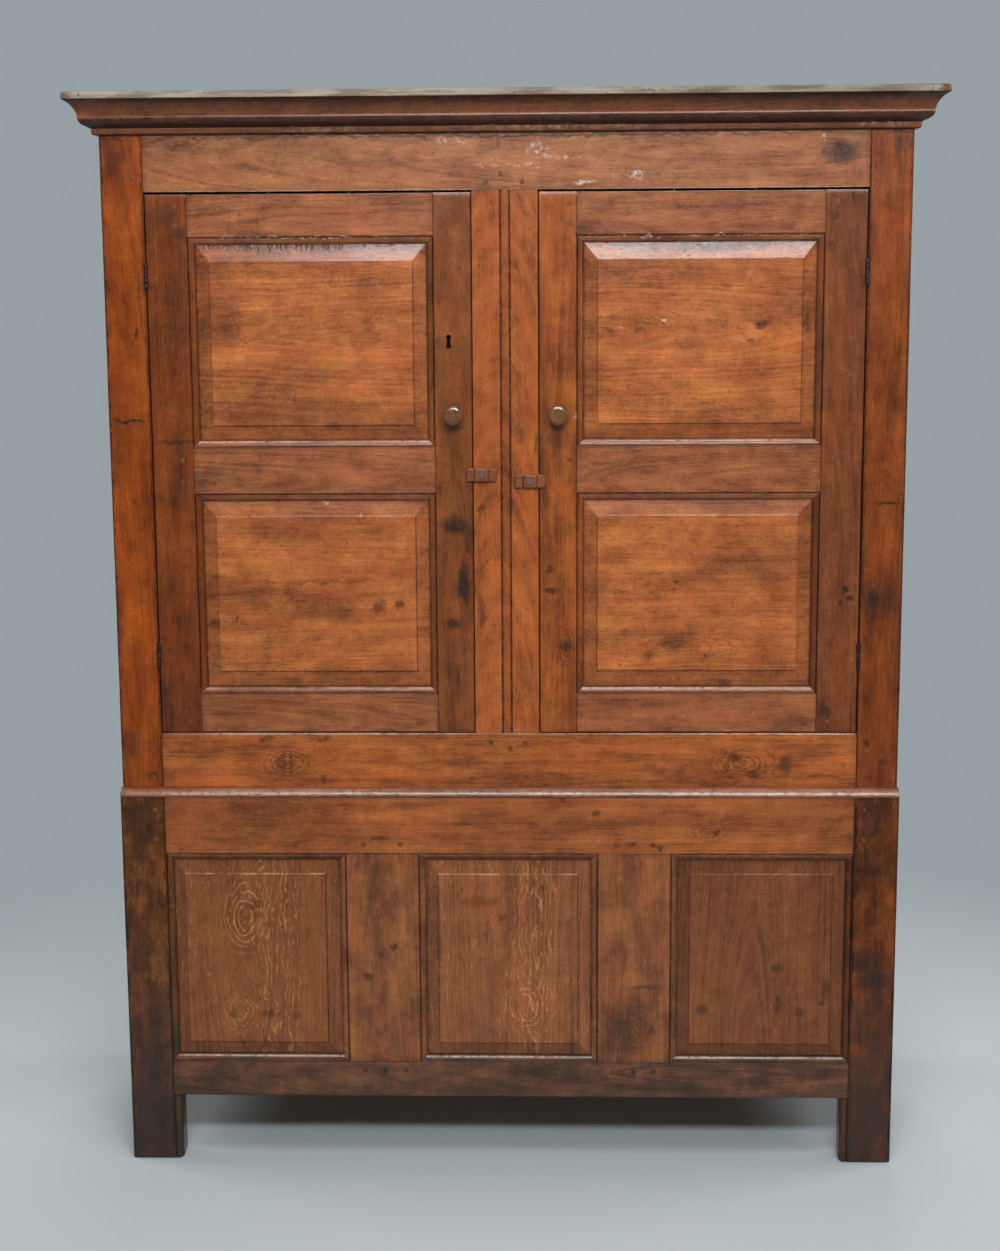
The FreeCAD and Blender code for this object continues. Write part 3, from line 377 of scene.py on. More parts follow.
def moulding_outline(thick):
    """Points, dirt and painted shade, shaded round and glint: quirk, quarter round, lip, then the
    back.

    The groove for the panel is cut in the back. The dirt and painted shade lie in the quirk, at
    the sight line and in the groove. The shaded round marks the top of the round, where painted
    shade is added on some sides, and glint the parts of it that a painted highlight runs on.
    """
    turn = np.linspace(0, np.pi / 2, 8)
    ovolo = np.stack([0.002 + 0.0089 * np.sin(turn), 0.0065 - 0.0055 * np.cos(turn)], -1)
    head = [(0, 0.0003), (0.0006, 0.0010), (0.0010, 0.0018), (0.0015, 0.0016)]
    lip = [(0.0116, 0.0066), (MOULDING - 0.0003, 0.0067), (MOULDING, 0.0071)]
    groove = [(MOULDING, GROOVE[0]), (GROOVE_FLOOR, GROOVE[0]), (GROOVE_FLOOR, GROOVE[1]),
              (MOULDING, GROOVE[1])]
    rear = [(MOULDING, thick), (0, thick)]
    outline_points = np.concatenate([head, ovolo, lip, groove, rear])
    dirt = np.concatenate([[0.7, 0.9, 1.3, 1.0], 0.3 * np.cos(turn) ** 6 + 0.3 * np.sin(turn) ** 10,
                           [0.5, 0.6, 1.1], [1.2] * 4, [0, 0]])
    shaded_round = np.concatenate([[0] * 4, np.sin(turn * 2) ** 0.5, [0.6, 0, 0], [0] * 6])
    glint = np.concatenate([[0, 0.5, 0, 0], [0, 0, 0, 0, 0.6, 1, 0.4, 0], [0, 0.4, 0], [0] * 6])
    return outline_points, dirt, shaded_round, glint


Bay = namedtuple("Bay", "x0 x1 z0 z1")
AXIS = {"x": np.array([1.0, 0, 0]), "y": np.array([0, 1.0, 0]), "z": np.array([0, 0, 1.0])}


def moulded_edge(bay, side, face, thick, seed, soil_and_painted_light=(0, 0, 0, 0)):
    """The moulding along one side of a bay, mitred at both ends, with its face at y = face.

    The last argument is the painted shade on the round, for the left, right, bottom and top
    sides, heaviest on the top, under the rail above; below zero, it is a painted highlight and a
    worn line on the part of the round that tilts up.
    """
    section, dirt, shaded_round, glint = moulding_outline(thick)
    soil_and_painted_light = soil_and_painted_light[("left", "right", "bottom", "top").index(side)]
    dirt = dirt + shaded_round * max(soil_and_painted_light, 0) + np.where(glint > 0, soil_and_painted_light - dirt, 0) * (soil_and_painted_light < 0) * glint
    along, across = (AXIS["x"], AXIS["z"]) if side in ("bottom", "top") else (AXIS["z"], AXIS["x"])
    run = (bay.x0, bay.x1) if side in ("bottom", "top") else (bay.z0, bay.z1)
    edge, sign = {"bottom": (bay.z0, 1), "top": (bay.z1, -1),
                  "left": (bay.x0, 1), "right": (bay.x1, -1)}[side]
    made = carried(section, along, sign * across, AXIS["y"], *run, (1, -1), seed, 0.02, dirt)
    return shifted(made, edge * across, face * AXIS["y"])


trial = moulded_edge(Bay(0, 0.4, 0, 0.3), "left", 0, 0.028, 5)
print("a mitred run spans", trial.points.min(0).round(4), "to", trial.points.max(0).round(4))

# %% [markdown]
# ## Fielded panels
# Each panel is one wide board, bevelled on its face so that a thin edge slips into the groove
# and a flat field stands proud with a tiny step round it. Bevels planed by eye leave a field
# that is never quite square: each of its four lines leans a little. The surface is a function
# of two parameters, one across and one up. Whole numbers of a parameter fall on the panel's
# lines, so every crease lies on a row of points however the lines lean.

# %% Panels
LINES = np.array([0, 1, 2, 3, 4, 5])     # edge, sight line, near it, foot of step, field, inside
MIDWAY = 5.5                             # the parameter halfway across
LOW_SIDE = np.concatenate([[0, 1, 1.4], np.linspace(2, 2.9, 5), [2.94, 3, 4, 4.2]])
PARAMETERS = np.concatenate([LOW_SIDE, np.linspace(5, 6, 14), 2 * MIDWAY - LOW_SIDE[::-1]])


def lean(low_line, high_line, size, lean_low, lean_high, other):
    """Places of all the grid lines in one direction, which drift as the other one runs 0 to 1."""
    foot = low_line + lean_low[0] + (lean_low[1] - lean_low[0]) * other
    head = high_line - lean_high[0] - (lean_high[1] - lean_high[0]) * other
    sight, edge = size - TONGUE, size
    low_values = [0 * foot - edge, 0 * foot - sight, 0 * foot - sight + 0.0035,
                  foot - 0.0004, foot + 0.0002, foot + 0.006]
    high_values = [head - 0.006, head - 0.0002, head + 0.0004, 0 * head + sight - 0.0035,
                   0 * head + sight, 0 * head + edge]
    knots = np.concatenate([LINES, LINES + 6])
    values = np.stack(low_values + high_values, -1)
    return np.stack([np.interp(PARAMETERS, knots, row) for row in values])


def panel(low, high, order, outer, bevels, seed, leans=(0,) * 8, bevel_shades=(0,) * 4, steps=(0.6,) * 4):
    """A fielded panel between two corners, facing outer (-1 or +1) along its third axis.

    bevels are its bevels' widths across and up. leans are how far the field's left, right,
    bottom and top lines move in, each at its two ends. The next two arguments are the painted
    shade on those sides' bevels and on their steps, where a value below zero is a painted
    highlight along the step; the edge and the sight line get dirt and painted shade. The depth
    of a point is the greater of the two that its parameters give, so bevels meet in mitres, and
    the dirt and painted light are those of the side which gives the depth.
    """
    axes, half, middle = turned_box(low, high, order)
    run = PARAMETERS / PARAMETERS[-1]
    fields = [half[k] - TONGUE - bevels[k] for k in (0, 1)]
    x = lean(-fields[0], fields[0], half[0], leans[0:2], leans[2:4], run).T
    z = lean(-fields[1], fields[1], half[1], leans[4:6], leans[6:8], run)
    tongue = 2 * half[2] - PANEL_EDGE
    ramp = [tongue, tongue, tongue - 0.0005, FIELD_STEP, 0.0001, 0.0]
    depth = np.interp(PARAMETERS, np.arange(12), ramp + ramp[::-1])
    drop = np.maximum(depth[:, None], depth[None, :])
    drop = drop + 0.00025 * drift(seed, x, z, longest=0.4, shortest=0.05)
    height = outer * (half[2] - drop)
    at = PARAMETERS[PARAMETERS < MIDWAY]
    sides = []
    for slope, step in zip(bevel_shades, steps):
        sides.append(np.interp(at, [0, 1, 1.4, 2, 2.9, 3, 4, 4.2, 5],
                               [1.1, 1, slope + 0.2, slope, slope, step, step * 0.6, 0.05, 0]))
    soil_and_painted_light = [np.concatenate([sides[k], sides[k + 1][::-1]]) for k in (0, 2)]
    sideways = depth[:, None] > depth[None, :]
    level = depth[:, None] == depth[None, :]
    dirt = np.where(sideways, soil_and_painted_light[0][:, None], soil_and_painted_light[1][None, :])
    dirt = np.where(level, (soil_and_painted_light[0][:, None] + soil_and_painted_light[1][None, :]) / 2, dirt)
    front = np.stack([x, z, height], -1)
    rear = np.stack([x, z, 0 * x - outer * half[2]], -1)
    count = np.arange(x.size).reshape(x.shape)
    corner = [count[:-1, :-1], count[1:, :-1], count[1:, 1:], count[:-1, 1:]]
    a, b, c, d = (block.ravel() for block in corner)
    from_middle = PARAMETERS[:-1] - MIDWAY
    rising = np.multiply.outer(from_middle, from_middle).ravel() > 0
    split = np.where(rising[:, None], np.stack([a, b, c, a, c, d], -1),
                     np.stack([a, b, d, b, c, d], -1)).reshape(-1, 3)
    rim = np.concatenate([count[:, 0], count[-1, 1:], count[-2::-1, -1], count[0, -2:0:-1]])
    ahead = np.roll(rim, -1)
    wall = np.stack([rim, rim + x.size, ahead + x.size, ahead], -1)
    faces = [split, split[:, ::-1] + x.size, wall]
    grid = np.concatenate([front.reshape(-1, 3), rear.reshape(-1, 3)])
    points = np.empty_like(grid)
    points[:, axes] = grid + middle
    soiled_and_lit = np.concatenate([dirt.ravel(), 0 * dirt.ravel()])
    return Skin(points, outward(points, faces), grid, lot_number(seed), soiled_and_lit)


trial = panel((0, 0, 0), (0.4, 0.0125, 0.3), "xzy", -1, (0.024, 0.028), 4)
print("a panel has", sum(len(block) for block in trial.faces), "faces")

# %% [markdown]
# ## Turned work
# Knobs like these come off a lathe: a thin neck, a mushroom head and a flat top. A turned piece
# is one profile of radius and height swept round an axis, so its grid has the profile along
# its rows and the turn round its columns.

# %% Turning


def turned(profile, centre, seed):
    """A profile of (radius, height) points turned round an axis that runs towards -Y."""
    radius, height = np.array(profile, float).T
    angle = np.linspace(0, 2 * np.pi, 64, endpoint=False)
    uneven = 1 + 0.012 * (drift(seed, 0.1 * np.cos(angle), 0.1 * np.sin(angle)) - 1)
    x = radius[:, None] * np.cos(angle) * uneven
    z = radius[:, None] * np.sin(angle) * uneven
    y = -height[:, None] * np.ones_like(angle)
    place = np.stack([y, x, z], -1)
    points = np.stack([x, y, z], -1) + np.array(centre)
    # The neck, under the head, is painted darker.
    neck_darkening = np.where(height < height.max() * 0.35, 0.8, 0.0)
    return skin(points, place, lot_number(seed), neck_darkening[:, None])


trial = turned([(0.01, 0), (0.018, 0.02), (0.001, 0.028)], (0, 0, 0), 6)
print("a turned trial is", np.ptp(trial.points, 0).round(4), "in size")

# %% [markdown]
# ## Shader arithmetic
# A finish is a formula over the surface: so much grain, less where it is worn, darker in the
# corners. Node trees hide formulas, so a small class lets them be written as Python sums, and
# one method makes every other node.

# %% Values that add their own nodes


class Value:
    """A number or colour over a surface. Arithmetic on numbers adds Math nodes."""

    def __init__(self, paint, socket):
        self.paint, self.socket = paint, socket

    def math(self, operation, *others):
        return self.paint.node("Math", {"operation": operation},
                               dict(enumerate((self,) + others)))

    def other(self, title):
        """Another output of the node that this value comes from."""
        return Value(self.paint, self.socket.node.outputs[title])


def operator(operation, reflected):
    def apply(self, other):
        pair = (other, self) if reflected else (self, other)
        return self.paint.node("Math", {"operation": operation}, dict(enumerate(pair)))
    return apply


for sign, operation in {"add": "ADD", "sub": "SUBTRACT", "mul": "MULTIPLY",
                        "truediv": "DIVIDE", "pow": "POWER"}.items():
    setattr(Value, f"__{sign}__", operator(operation, False))
    setattr(Value, f"__r{sign}__", operator(operation, True))


class Paint:
    """A material's or a world's nodes, with a method that makes any node from its sockets.

    A new tree holds two nodes: a shader, and the output that it leads to.
    """

    def __init__(self, name, family=bpy.data.materials):
        self.owner = family.new(name)
        self.owner.use_nodes = True
        self.tree = self.owner.node_tree
        self.shader, output = sorted(self.tree.nodes, key=lambda node: len(node.outputs) == 0)
        self.surface = output.inputs["Surface"]

    def put(self, socket, value):
        if isinstance(value, Value):
            self.tree.links.new(value.socket, socket)
        else:
            socket.default_value = value

    def node(self, kind, settings, sockets, out=0):
        made = self.tree.nodes.new("ShaderNode" + kind)
        for title, setting in settings.items():
            if title == "stops":
                elements = made.color_ramp.elements
                elements.remove(elements[1])
                elements[0].position, elements[0].color = setting[0]
                for at, tone in setting[1:]:
                    elements.new(at).color = tone
            else:
                setattr(made, title, setting)
        for key, value in sockets.items():
            self.put(made.inputs[key], value)
        return Value(self, made.outputs[out])

    def vector(self, operation, *parts, out=0):
        return self.node("VectorMath", {"operation": operation}, dict(enumerate(parts)), out)

    def mix(self, low, high, share, blend="MIX"):
        return self.node("Mix", {"data_type": "RGBA", "blend_type": blend},
                         {0: share, 6: low, 7: high}, 2)

    def noise(self, where, size, detail=2.0, rough=0.5, out=0):
        """Noise whose lumps are size metres, all round or along each axis of where."""
        scaled = self.vector("MULTIPLY", where, tuple(1 / np.broadcast_to(size, 3)))
        return self.node("TexNoise", {}, {"Vector": scaled, "Scale": 1.0, "Detail": detail,
                                          "Roughness": rough}, out)

    def sway(self, noise, reach, start=(0.0, 0.0, 0.0)):
        """A place moved by noise, by up to half of reach to either side."""
        start = tuple(at - most / 2 for at, most in zip(start, reach))
        return self.vector("MULTIPLY_ADD", noise, reach, start)

    def step(self, value, low, high):
        """0 below low, 1 above high, and a smooth rise between them."""
        return self.node("MapRange", {"interpolation_type": "SMOOTHSTEP"},
                         {"Value": value, "From Min": low, "From Max": high})

    def finish(self, **sockets):
        for title, value in sockets.items():
            self.put(self.shader.inputs[title.replace("_", " ")], value)
        return self.owner


def colour(red, green, blue):
    """A display colour, 0 to 255, as the linear values that a shader wants."""
    part = np.array([red, green, blue]) / 255
    linear = np.where(part <= 0.04045, part / 12.92, ((part + 0.055) / 1.055) ** 2.4)
    return (*linear.tolist(), 1.0)


def shade(tint, factor, cool=0.0):
    """A colour scaled in brightness, and moved towards its own grey by the share cool."""
    linear = np.array(tint[:3]) * factor
    grey = linear.mean()
    return (*(linear + (grey - linear) * cool).tolist(), 1.0)


print("orange oak, linear:", np.round(colour(164, 90, 44), 3))

# %% [markdown]
# ## Old oak
# Waxed oak is layered. Broad clouds of brown come first, then the growth rings: a board is a
# flat slice through nested tubes, so its rings are circles round an axis somewhere behind the
# face, stretched into arches where the axis leans. Fine streaks and pores run along the grain.
# On top lie the marks of use, with some painted light among them: stains and knots at their
# own places and a few painted shadow lines, dirt and painted shade in corners and hollows,
# arrises rubbed pale and painted highlights, and dust or scuffs. The rings are worked out from
# each board's own coordinates, so one formula serves every board.

# %% The oak finish
# Dark for dirt, and for painted shade in corners, hollows and on faces turned down.
DIRT_AND_SHADE_COLOUR = colour(24, 15, 10)
# Dark for stains and growth lines, and for a few painted shadow lines.
STAIN_AND_SHADOW_COLOUR = colour(44, 27, 19)
# Pale for scuffs and rubbed wax, and for painted highlights on edges and rounds that tilt up.
SCUFF_AND_HIGHLIGHT_COLOUR = colour(200, 178, 162)
# Darker colour towards the floor.
LOW_DARK_COLOUR = colour(52, 41, 33)
RAY_COLOUR = colour(214, 148, 88)


def spots(paint, where, marks):
    """The strongest of several soft ovals: (x, z, half-width, half-height, strength) each."""
    total = None
    for x, z, wide, tall, strength in marks:
        scale = (1 / wide, 0.0, 1 / tall)
        moved = paint.vector("MULTIPLY_ADD", where, scale, (-x / wide, 0.0, -z / tall))
        distance = paint.vector("LENGTH", moved, out=1)
        spot = paint.step(distance, 1.25, 0.35) * strength
        total = spot if total is None else total.math("MAXIMUM", spot)
    return total


def rings_round(paint, objects, moved, wide, tall):
    """The distance from a centre in ring spacings, and how far off a ring's middle it is.

    moved is minus the centre, with the sway that bends the rings.
    """
    scaled = paint.vector("MULTIPLY", paint.vector("ADD", objects, moved),
                          (1 / wide, 0.0, 1 / tall))
    distance = paint.vector("LENGTH", scaled, out=1)
    return distance, (distance.math("FRACT") - 0.5).math("ABSOLUTE")


def ray_flecks(x, z, wide, tall, reach, strength, stray):
    """A figure of pale rings round (x, z), broken into wavy lines, as the wood's rays show.

    Slow noise bends the rings by stray, and quick noise makes them ragged.
    """
    def draw(paint, wood, objects):
        slow = paint.noise(objects, (0.030, 0.030, 0.055), 2, 0.5, out=1)
        quick = paint.noise(objects, (0.004, 0.004, 0.010), 2, 0.5, out=1)
        moved = paint.sway(slow, (stray, 0, 2 * stray), (-x, 0.0, -z))
        moved = paint.vector("MULTIPLY_ADD", quick, (0.0035, 0, 0.004), moved)
        distance, ripple = rings_round(paint, objects, moved, wide, tall)
        line = paint.step(ripple, 0.17, 0.03)
        broken = paint.step(paint.noise(objects, (0.010, 0.010, 0.018), 3), 0.40, 0.55)
        near = paint.step(distance, reach, reach * 0.35)
        return paint.mix(wood, RAY_COLOUR, line * broken * near * strength)
    return draw


def swirl(x, z, wide, tall, reach, strength):
    """A figure of dark growth lines that close round a knot at (x, z), reach rings out.

    wide and tall are the rings' spacings. Noise bends them, and they fade with distance.
    """
    def draw(paint, wood, objects):
        slow = paint.noise(objects, 0.020, 3, 0.55, out=1)
        moved = paint.sway(slow, (3 * wide, 0, 3 * tall), (-x, 0.0, -z))
        distance, ripple = rings_round(paint, objects, moved, wide, tall)
        line = paint.step(ripple, 0.34, 0.08)
        near = paint.step(distance, reach, reach * 0.3)
        return paint.mix(wood, STAIN_AND_SHADOW_COLOUR, line * near * strength)
    return draw


def mottled(size, light, deep):
    """A figure of patches of this size, lightened and darkened by two colours of factors."""
    def draw(paint, wood, objects):
        patch = paint.noise(objects, size, 4, 0.6)
        wood = paint.mix(wood, (*light, 1), paint.step(patch, 0.50, 0.62), "MULTIPLY")
        return paint.mix(wood, (*deep, 1), paint.step(patch, 0.50, 0.38), "MULTIPLY")
    return draw


def scattered_rays(strength):
    """A figure of short pale dashes along the grain of an upright board."""
    def draw(paint, wood, objects):
        dash = paint.noise(objects, (0.0038, 0.0038, 0.022), 3, 0.6)
        patch = paint.step(paint.noise(objects, (0.07, 0.07, 0.12), 2), 0.42, 0.60)
        return paint.mix(wood, RAY_COLOUR, paint.step(dash, 0.56, 0.66) * patch * strength)
    return draw


def oak(name, tint, order=None, cloud=1.0, ring=1.0, streak=1.0, curl=0.0, stains_and_shadows=(), scuffs_and_highlights=(),
        figures=(), gloss=0.24, dirt=0.9, lot=0.0, dust=None, darker_below=None, chatter=(),
        bare=(), sheen=0.32):
    """Waxed oak. order names the grain's axes on a CAD node, whose mesh holds no values.

    grain = clouds + rings + streaks + dashes + fibres + mottle + bars, each around zero, and a
    ramp turns that sum into colours. Over it, in this order, lie the pores, figures, dust,
    specks, stains and painted shadow lines (dark), dirt and painted shade, rubbed wax and
    painted highlights, scuffs and painted highlight lines (pale), a darkening towards the floor,
    and the marks that a plane left across the grain (chatter). dust and that darkening start
    with two heights, and bare lists where no dust lies.
    """
    paint = Paint(name)
    objects = paint.node("TexCoord", {}, {}, "Object")
    if order:
        parts = paint.node("SeparateXYZ", {}, {0: objects})
        axes = [parts.other("xyz".index(axis)) for axis in order]
        place = paint.node("CombineXYZ", {}, dict(enumerate(axes)))
        soil_and_painted_light = None
        timber = paint.vector("ADD", place, (1.7 * lot, 3.1 * lot, 2.3 * lot))
        slope, shift = 0.1 * np.sin(2.39 * lot), 0.03 * np.sin(1.71 * lot)
    else:
        place = paint.node("Attribute", {"attribute_name": "place"}, {}, "Vector")
        lot = paint.node("Attribute", {"attribute_name": "lot"}, {}, "Fac")
        soil_and_painted_light = paint.node("Attribute", {"attribute_name": "dirt"}, {}, "Fac")
        offset = paint.node("VectorMath", {"operation": "SCALE"}, {0: (1.7, 3.1, 2.3), 3: lot})
        timber = paint.vector("ADD", place, offset)
        slope, shift = (lot * 2.39).math("SINE") * 0.1, (lot * 1.71).math("SINE") * 0.03
    wander = paint.sway(paint.noise(timber, (0.35, 0.12, 0.12), 3, out=1), (0, 0.030, 0.030))
    bent = paint.vector("ADD", timber, wander)
    slice_place = paint.vector("ADD", place, wander)
    across = paint.node("SeparateXYZ", {}, {0: slice_place}, 1)
    length = paint.node("SeparateXYZ", {}, {0: slice_place}, 0)
    behind = 0.035 + length * slope
    aside = across + shift
    radius = (aside * aside + behind * behind).math("SQRT")
    ring_place = paint.node("CombineXYZ", {}, {0: radius * 260.0, 1: lot, 2: length * 1.5})
    rings = paint.node("TexNoise", {}, {"Vector": ring_place, "Scale": 1.0, "Detail": 2.0,
                                        "Roughness": 0.6})
    clouds = paint.noise(timber, (0.30, 0.06, 0.06), 3, 0.6)
    streaks = paint.noise(bent, (0.10, 0.0045, 0.0045), 4, 0.62)
    dashes = paint.noise(bent, (0.022, 0.0017, 0.0017), 2, 0.6)
    fibres = paint.noise(bent, (0.009, 0.0007, 0.0007), 2, 0.6)
    mottle = paint.noise(objects, 0.035, 4, 0.65)
    grain = (0.5 + (clouds - 0.5) * (0.50 * cloud) + (rings - 0.5) * (0.48 * ring)
             + (streaks - 0.5) * (0.24 * streak) + (dashes - 0.5) * (0.34 * streak)
             + (fibres - 0.5) * (0.60 * streak) + (mottle - 0.5) * (0.42 * cloud))
    bars = paint.noise(bent, (0.0045, 0.014, 0.014), 3, 0.65)
    grain = grain + (bars - 0.5) * (0.12 + curl)
    wood = paint.node("ValToRGB", {"stops": [(0.28, shade(tint, 0.40, 0.08)),
                                             (0.42, shade(tint, 0.76)),
                                             (0.54, tint),
                                             (0.75, shade(tint, 1.42))]}, {0: grain})
    warmth = paint.noise(timber, (0.12, 0.03, 0.03), 3)
    cast = paint.mix((0.98, 0.91, 0.93, 1), (1.03, 1.08, 1.03, 1), paint.step(warmth, 0.36, 0.64))
    wood = paint.mix(wood, cast, 1.0, "MULTIPLY")
    pores = paint.step(dashes * 0.5 + fibres * 0.5 + (rings - 0.5) * 0.2, 0.575, 0.67)
    wood = paint.mix(wood, shade(tint, 0.30, 0.15), pores * 0.45)
    for figure in figures:
        wood = figure(paint, wood, objects)
    ragged = paint.sway(paint.noise(objects, 0.020, 4, 0.6, out=1), (0.026, 0, 0.026))
    warped = paint.vector("ADD", objects, ragged)
    breakup = paint.noise(objects, 0.010, 5, 0.65)
    rough = gloss + (mottle - 0.5) * 0.18 + (streaks - 0.5) * 0.14
    height = paint.node("SeparateXYZ", {}, {0: objects}, 2)
    if dust:
        low, high, pale_dust, brown_dust = dust
        settled = paint.step(height, low, high) * (0.80 + breakup * 0.4)
        if bare:
            settled = settled * (1 - spots(paint, warped, bare))
        patches = paint.noise(objects, (0.10, 0.10, 0.012), 4, 0.6)
        shed = paint.mix(brown_dust, pale_dust, paint.step(patches, 0.36, 0.58))
        wood = paint.mix(wood, shed, settled.math("MINIMUM", 1.0))
        rough = rough + settled * 0.5
    specks = paint.step(breakup + (mottle - 0.5) * 0.3, 0.635, 0.70)
    wood = paint.mix(wood, STAIN_AND_SHADOW_COLOUR, specks * (0.45 * streak))
    # Dark spots: stains, and a few painted shadow lines under the cornice and the nosing.
    if stains_and_shadows:
        stain_and_shadow = spots(paint, warped, stains_and_shadows) * (0.35 + breakup * 1.2)
        wood = paint.mix(wood, STAIN_AND_SHADOW_COLOUR, stain_and_shadow)
    # Above zero the point's value paints dirt and painted shade; below zero, rubbed wax and a painted
    # highlight.
    if soil_and_painted_light is not None:
        dirt_and_shade_mask = soil_and_painted_light.math("MAXIMUM", 0.0) * (breakup * 1.3 + 0.22) * dirt
        wood = paint.mix(wood, DIRT_AND_SHADE_COLOUR, dirt_and_shade_mask.math("MINIMUM", 0.92))
        rubbed = (0 - soil_and_painted_light).math("MAXIMUM", 0.0) * (0.25 + paint.step(clouds, 0.36, 0.60) * 0.75)
        rubbed = rubbed * paint.step(breakup, 0.30, 0.60)
        wood = paint.mix(wood, SCUFF_AND_HIGHLIGHT_COLOUR, rubbed.math("MINIMUM", 0.85))
    # Pale spots: scuffs, and a few painted highlight lines along mouldings.
    if scuffs_and_highlights:
        scuff_and_highlight = spots(paint, warped, scuffs_and_highlights) * paint.step(breakup, 0.46, 0.60)
        wood = paint.mix(wood, SCUFF_AND_HIGHLIGHT_COLOUR, scuff_and_highlight)
    # Darker towards the floor, in patches.
    if darker_below:
        low, high, strength = darker_below
        patchy = paint.step(paint.noise(objects, (0.025, 0.025, 0.05), 4, 0.6), 0.42, 0.56)
        rising = paint.step(height, high, low) * (0.55 + patchy * 0.60) * strength
        wood = paint.mix(wood, LOW_DARK_COLOUR, rising.math("MINIMUM", 0.95))
    relief = streaks * 0.4 + dashes * 0.3 + fibres * 0.2 - pores * 0.6 + mottle * 1.2
    if chatter:
        ripples = paint.noise(objects, (0.011, 0.05, 0.035), 2, 0.7)
        cuts = spots(paint, warped, chatter) * paint.step(ripples, 0.50, 0.62)
        relief = relief - cuts * 3.0
        wood = paint.mix(wood, shade(tint, 0.25, 0.2), cuts * 0.6)
        rough = rough + cuts * 0.25
    normal = paint.node("Bump", {}, {"Strength": 0.35, "Distance": 0.0006, "Height": relief})
    return paint.finish(Base_Color=wood, Roughness=rough, Normal=normal, Specular_IOR_Level=sheen)


# %% [markdown]
# ## Iron and steel
# The hinges and the lock are blacked iron with soft patches of rust, and the screws in the turn
# buttons are grey steel.

# %% The metal finishes


def metal(name, tint, rust, rough, shine):
    """Old metal: a metallic tint, with soft patches of rust, rougher and less metallic."""
    paint = Paint(name)
    objects = paint.node("TexCoord", {}, {}, "Object")
    patches = paint.noise(objects, 0.006, 4, 0.65)
    rusted = paint.step(patches, 0.46, 0.62)
    pits = paint.noise(objects, 0.0012, 2)
    base = paint.mix(tint, rust, rusted * 0.75)
    normal = paint.node("Bump", {}, {"Strength": 0.4, "Distance": 0.0004,
                                     "Height": pits + rusted * 0.6})
    return paint.finish(Base_Color=base, Metallic=shine * (1 - rusted * 0.7),
                        Roughness=rough + (patches - 0.5) * 0.4, Normal=normal)


iron = metal("blacked_iron", colour(44, 40, 38), colour(50, 31, 22), 0.45, 0.85)
steel = metal("grey_steel", colour(118, 114, 108), colour(92, 70, 56), 0.35, 0.95)
print("metals:", iron.name, steel.name)
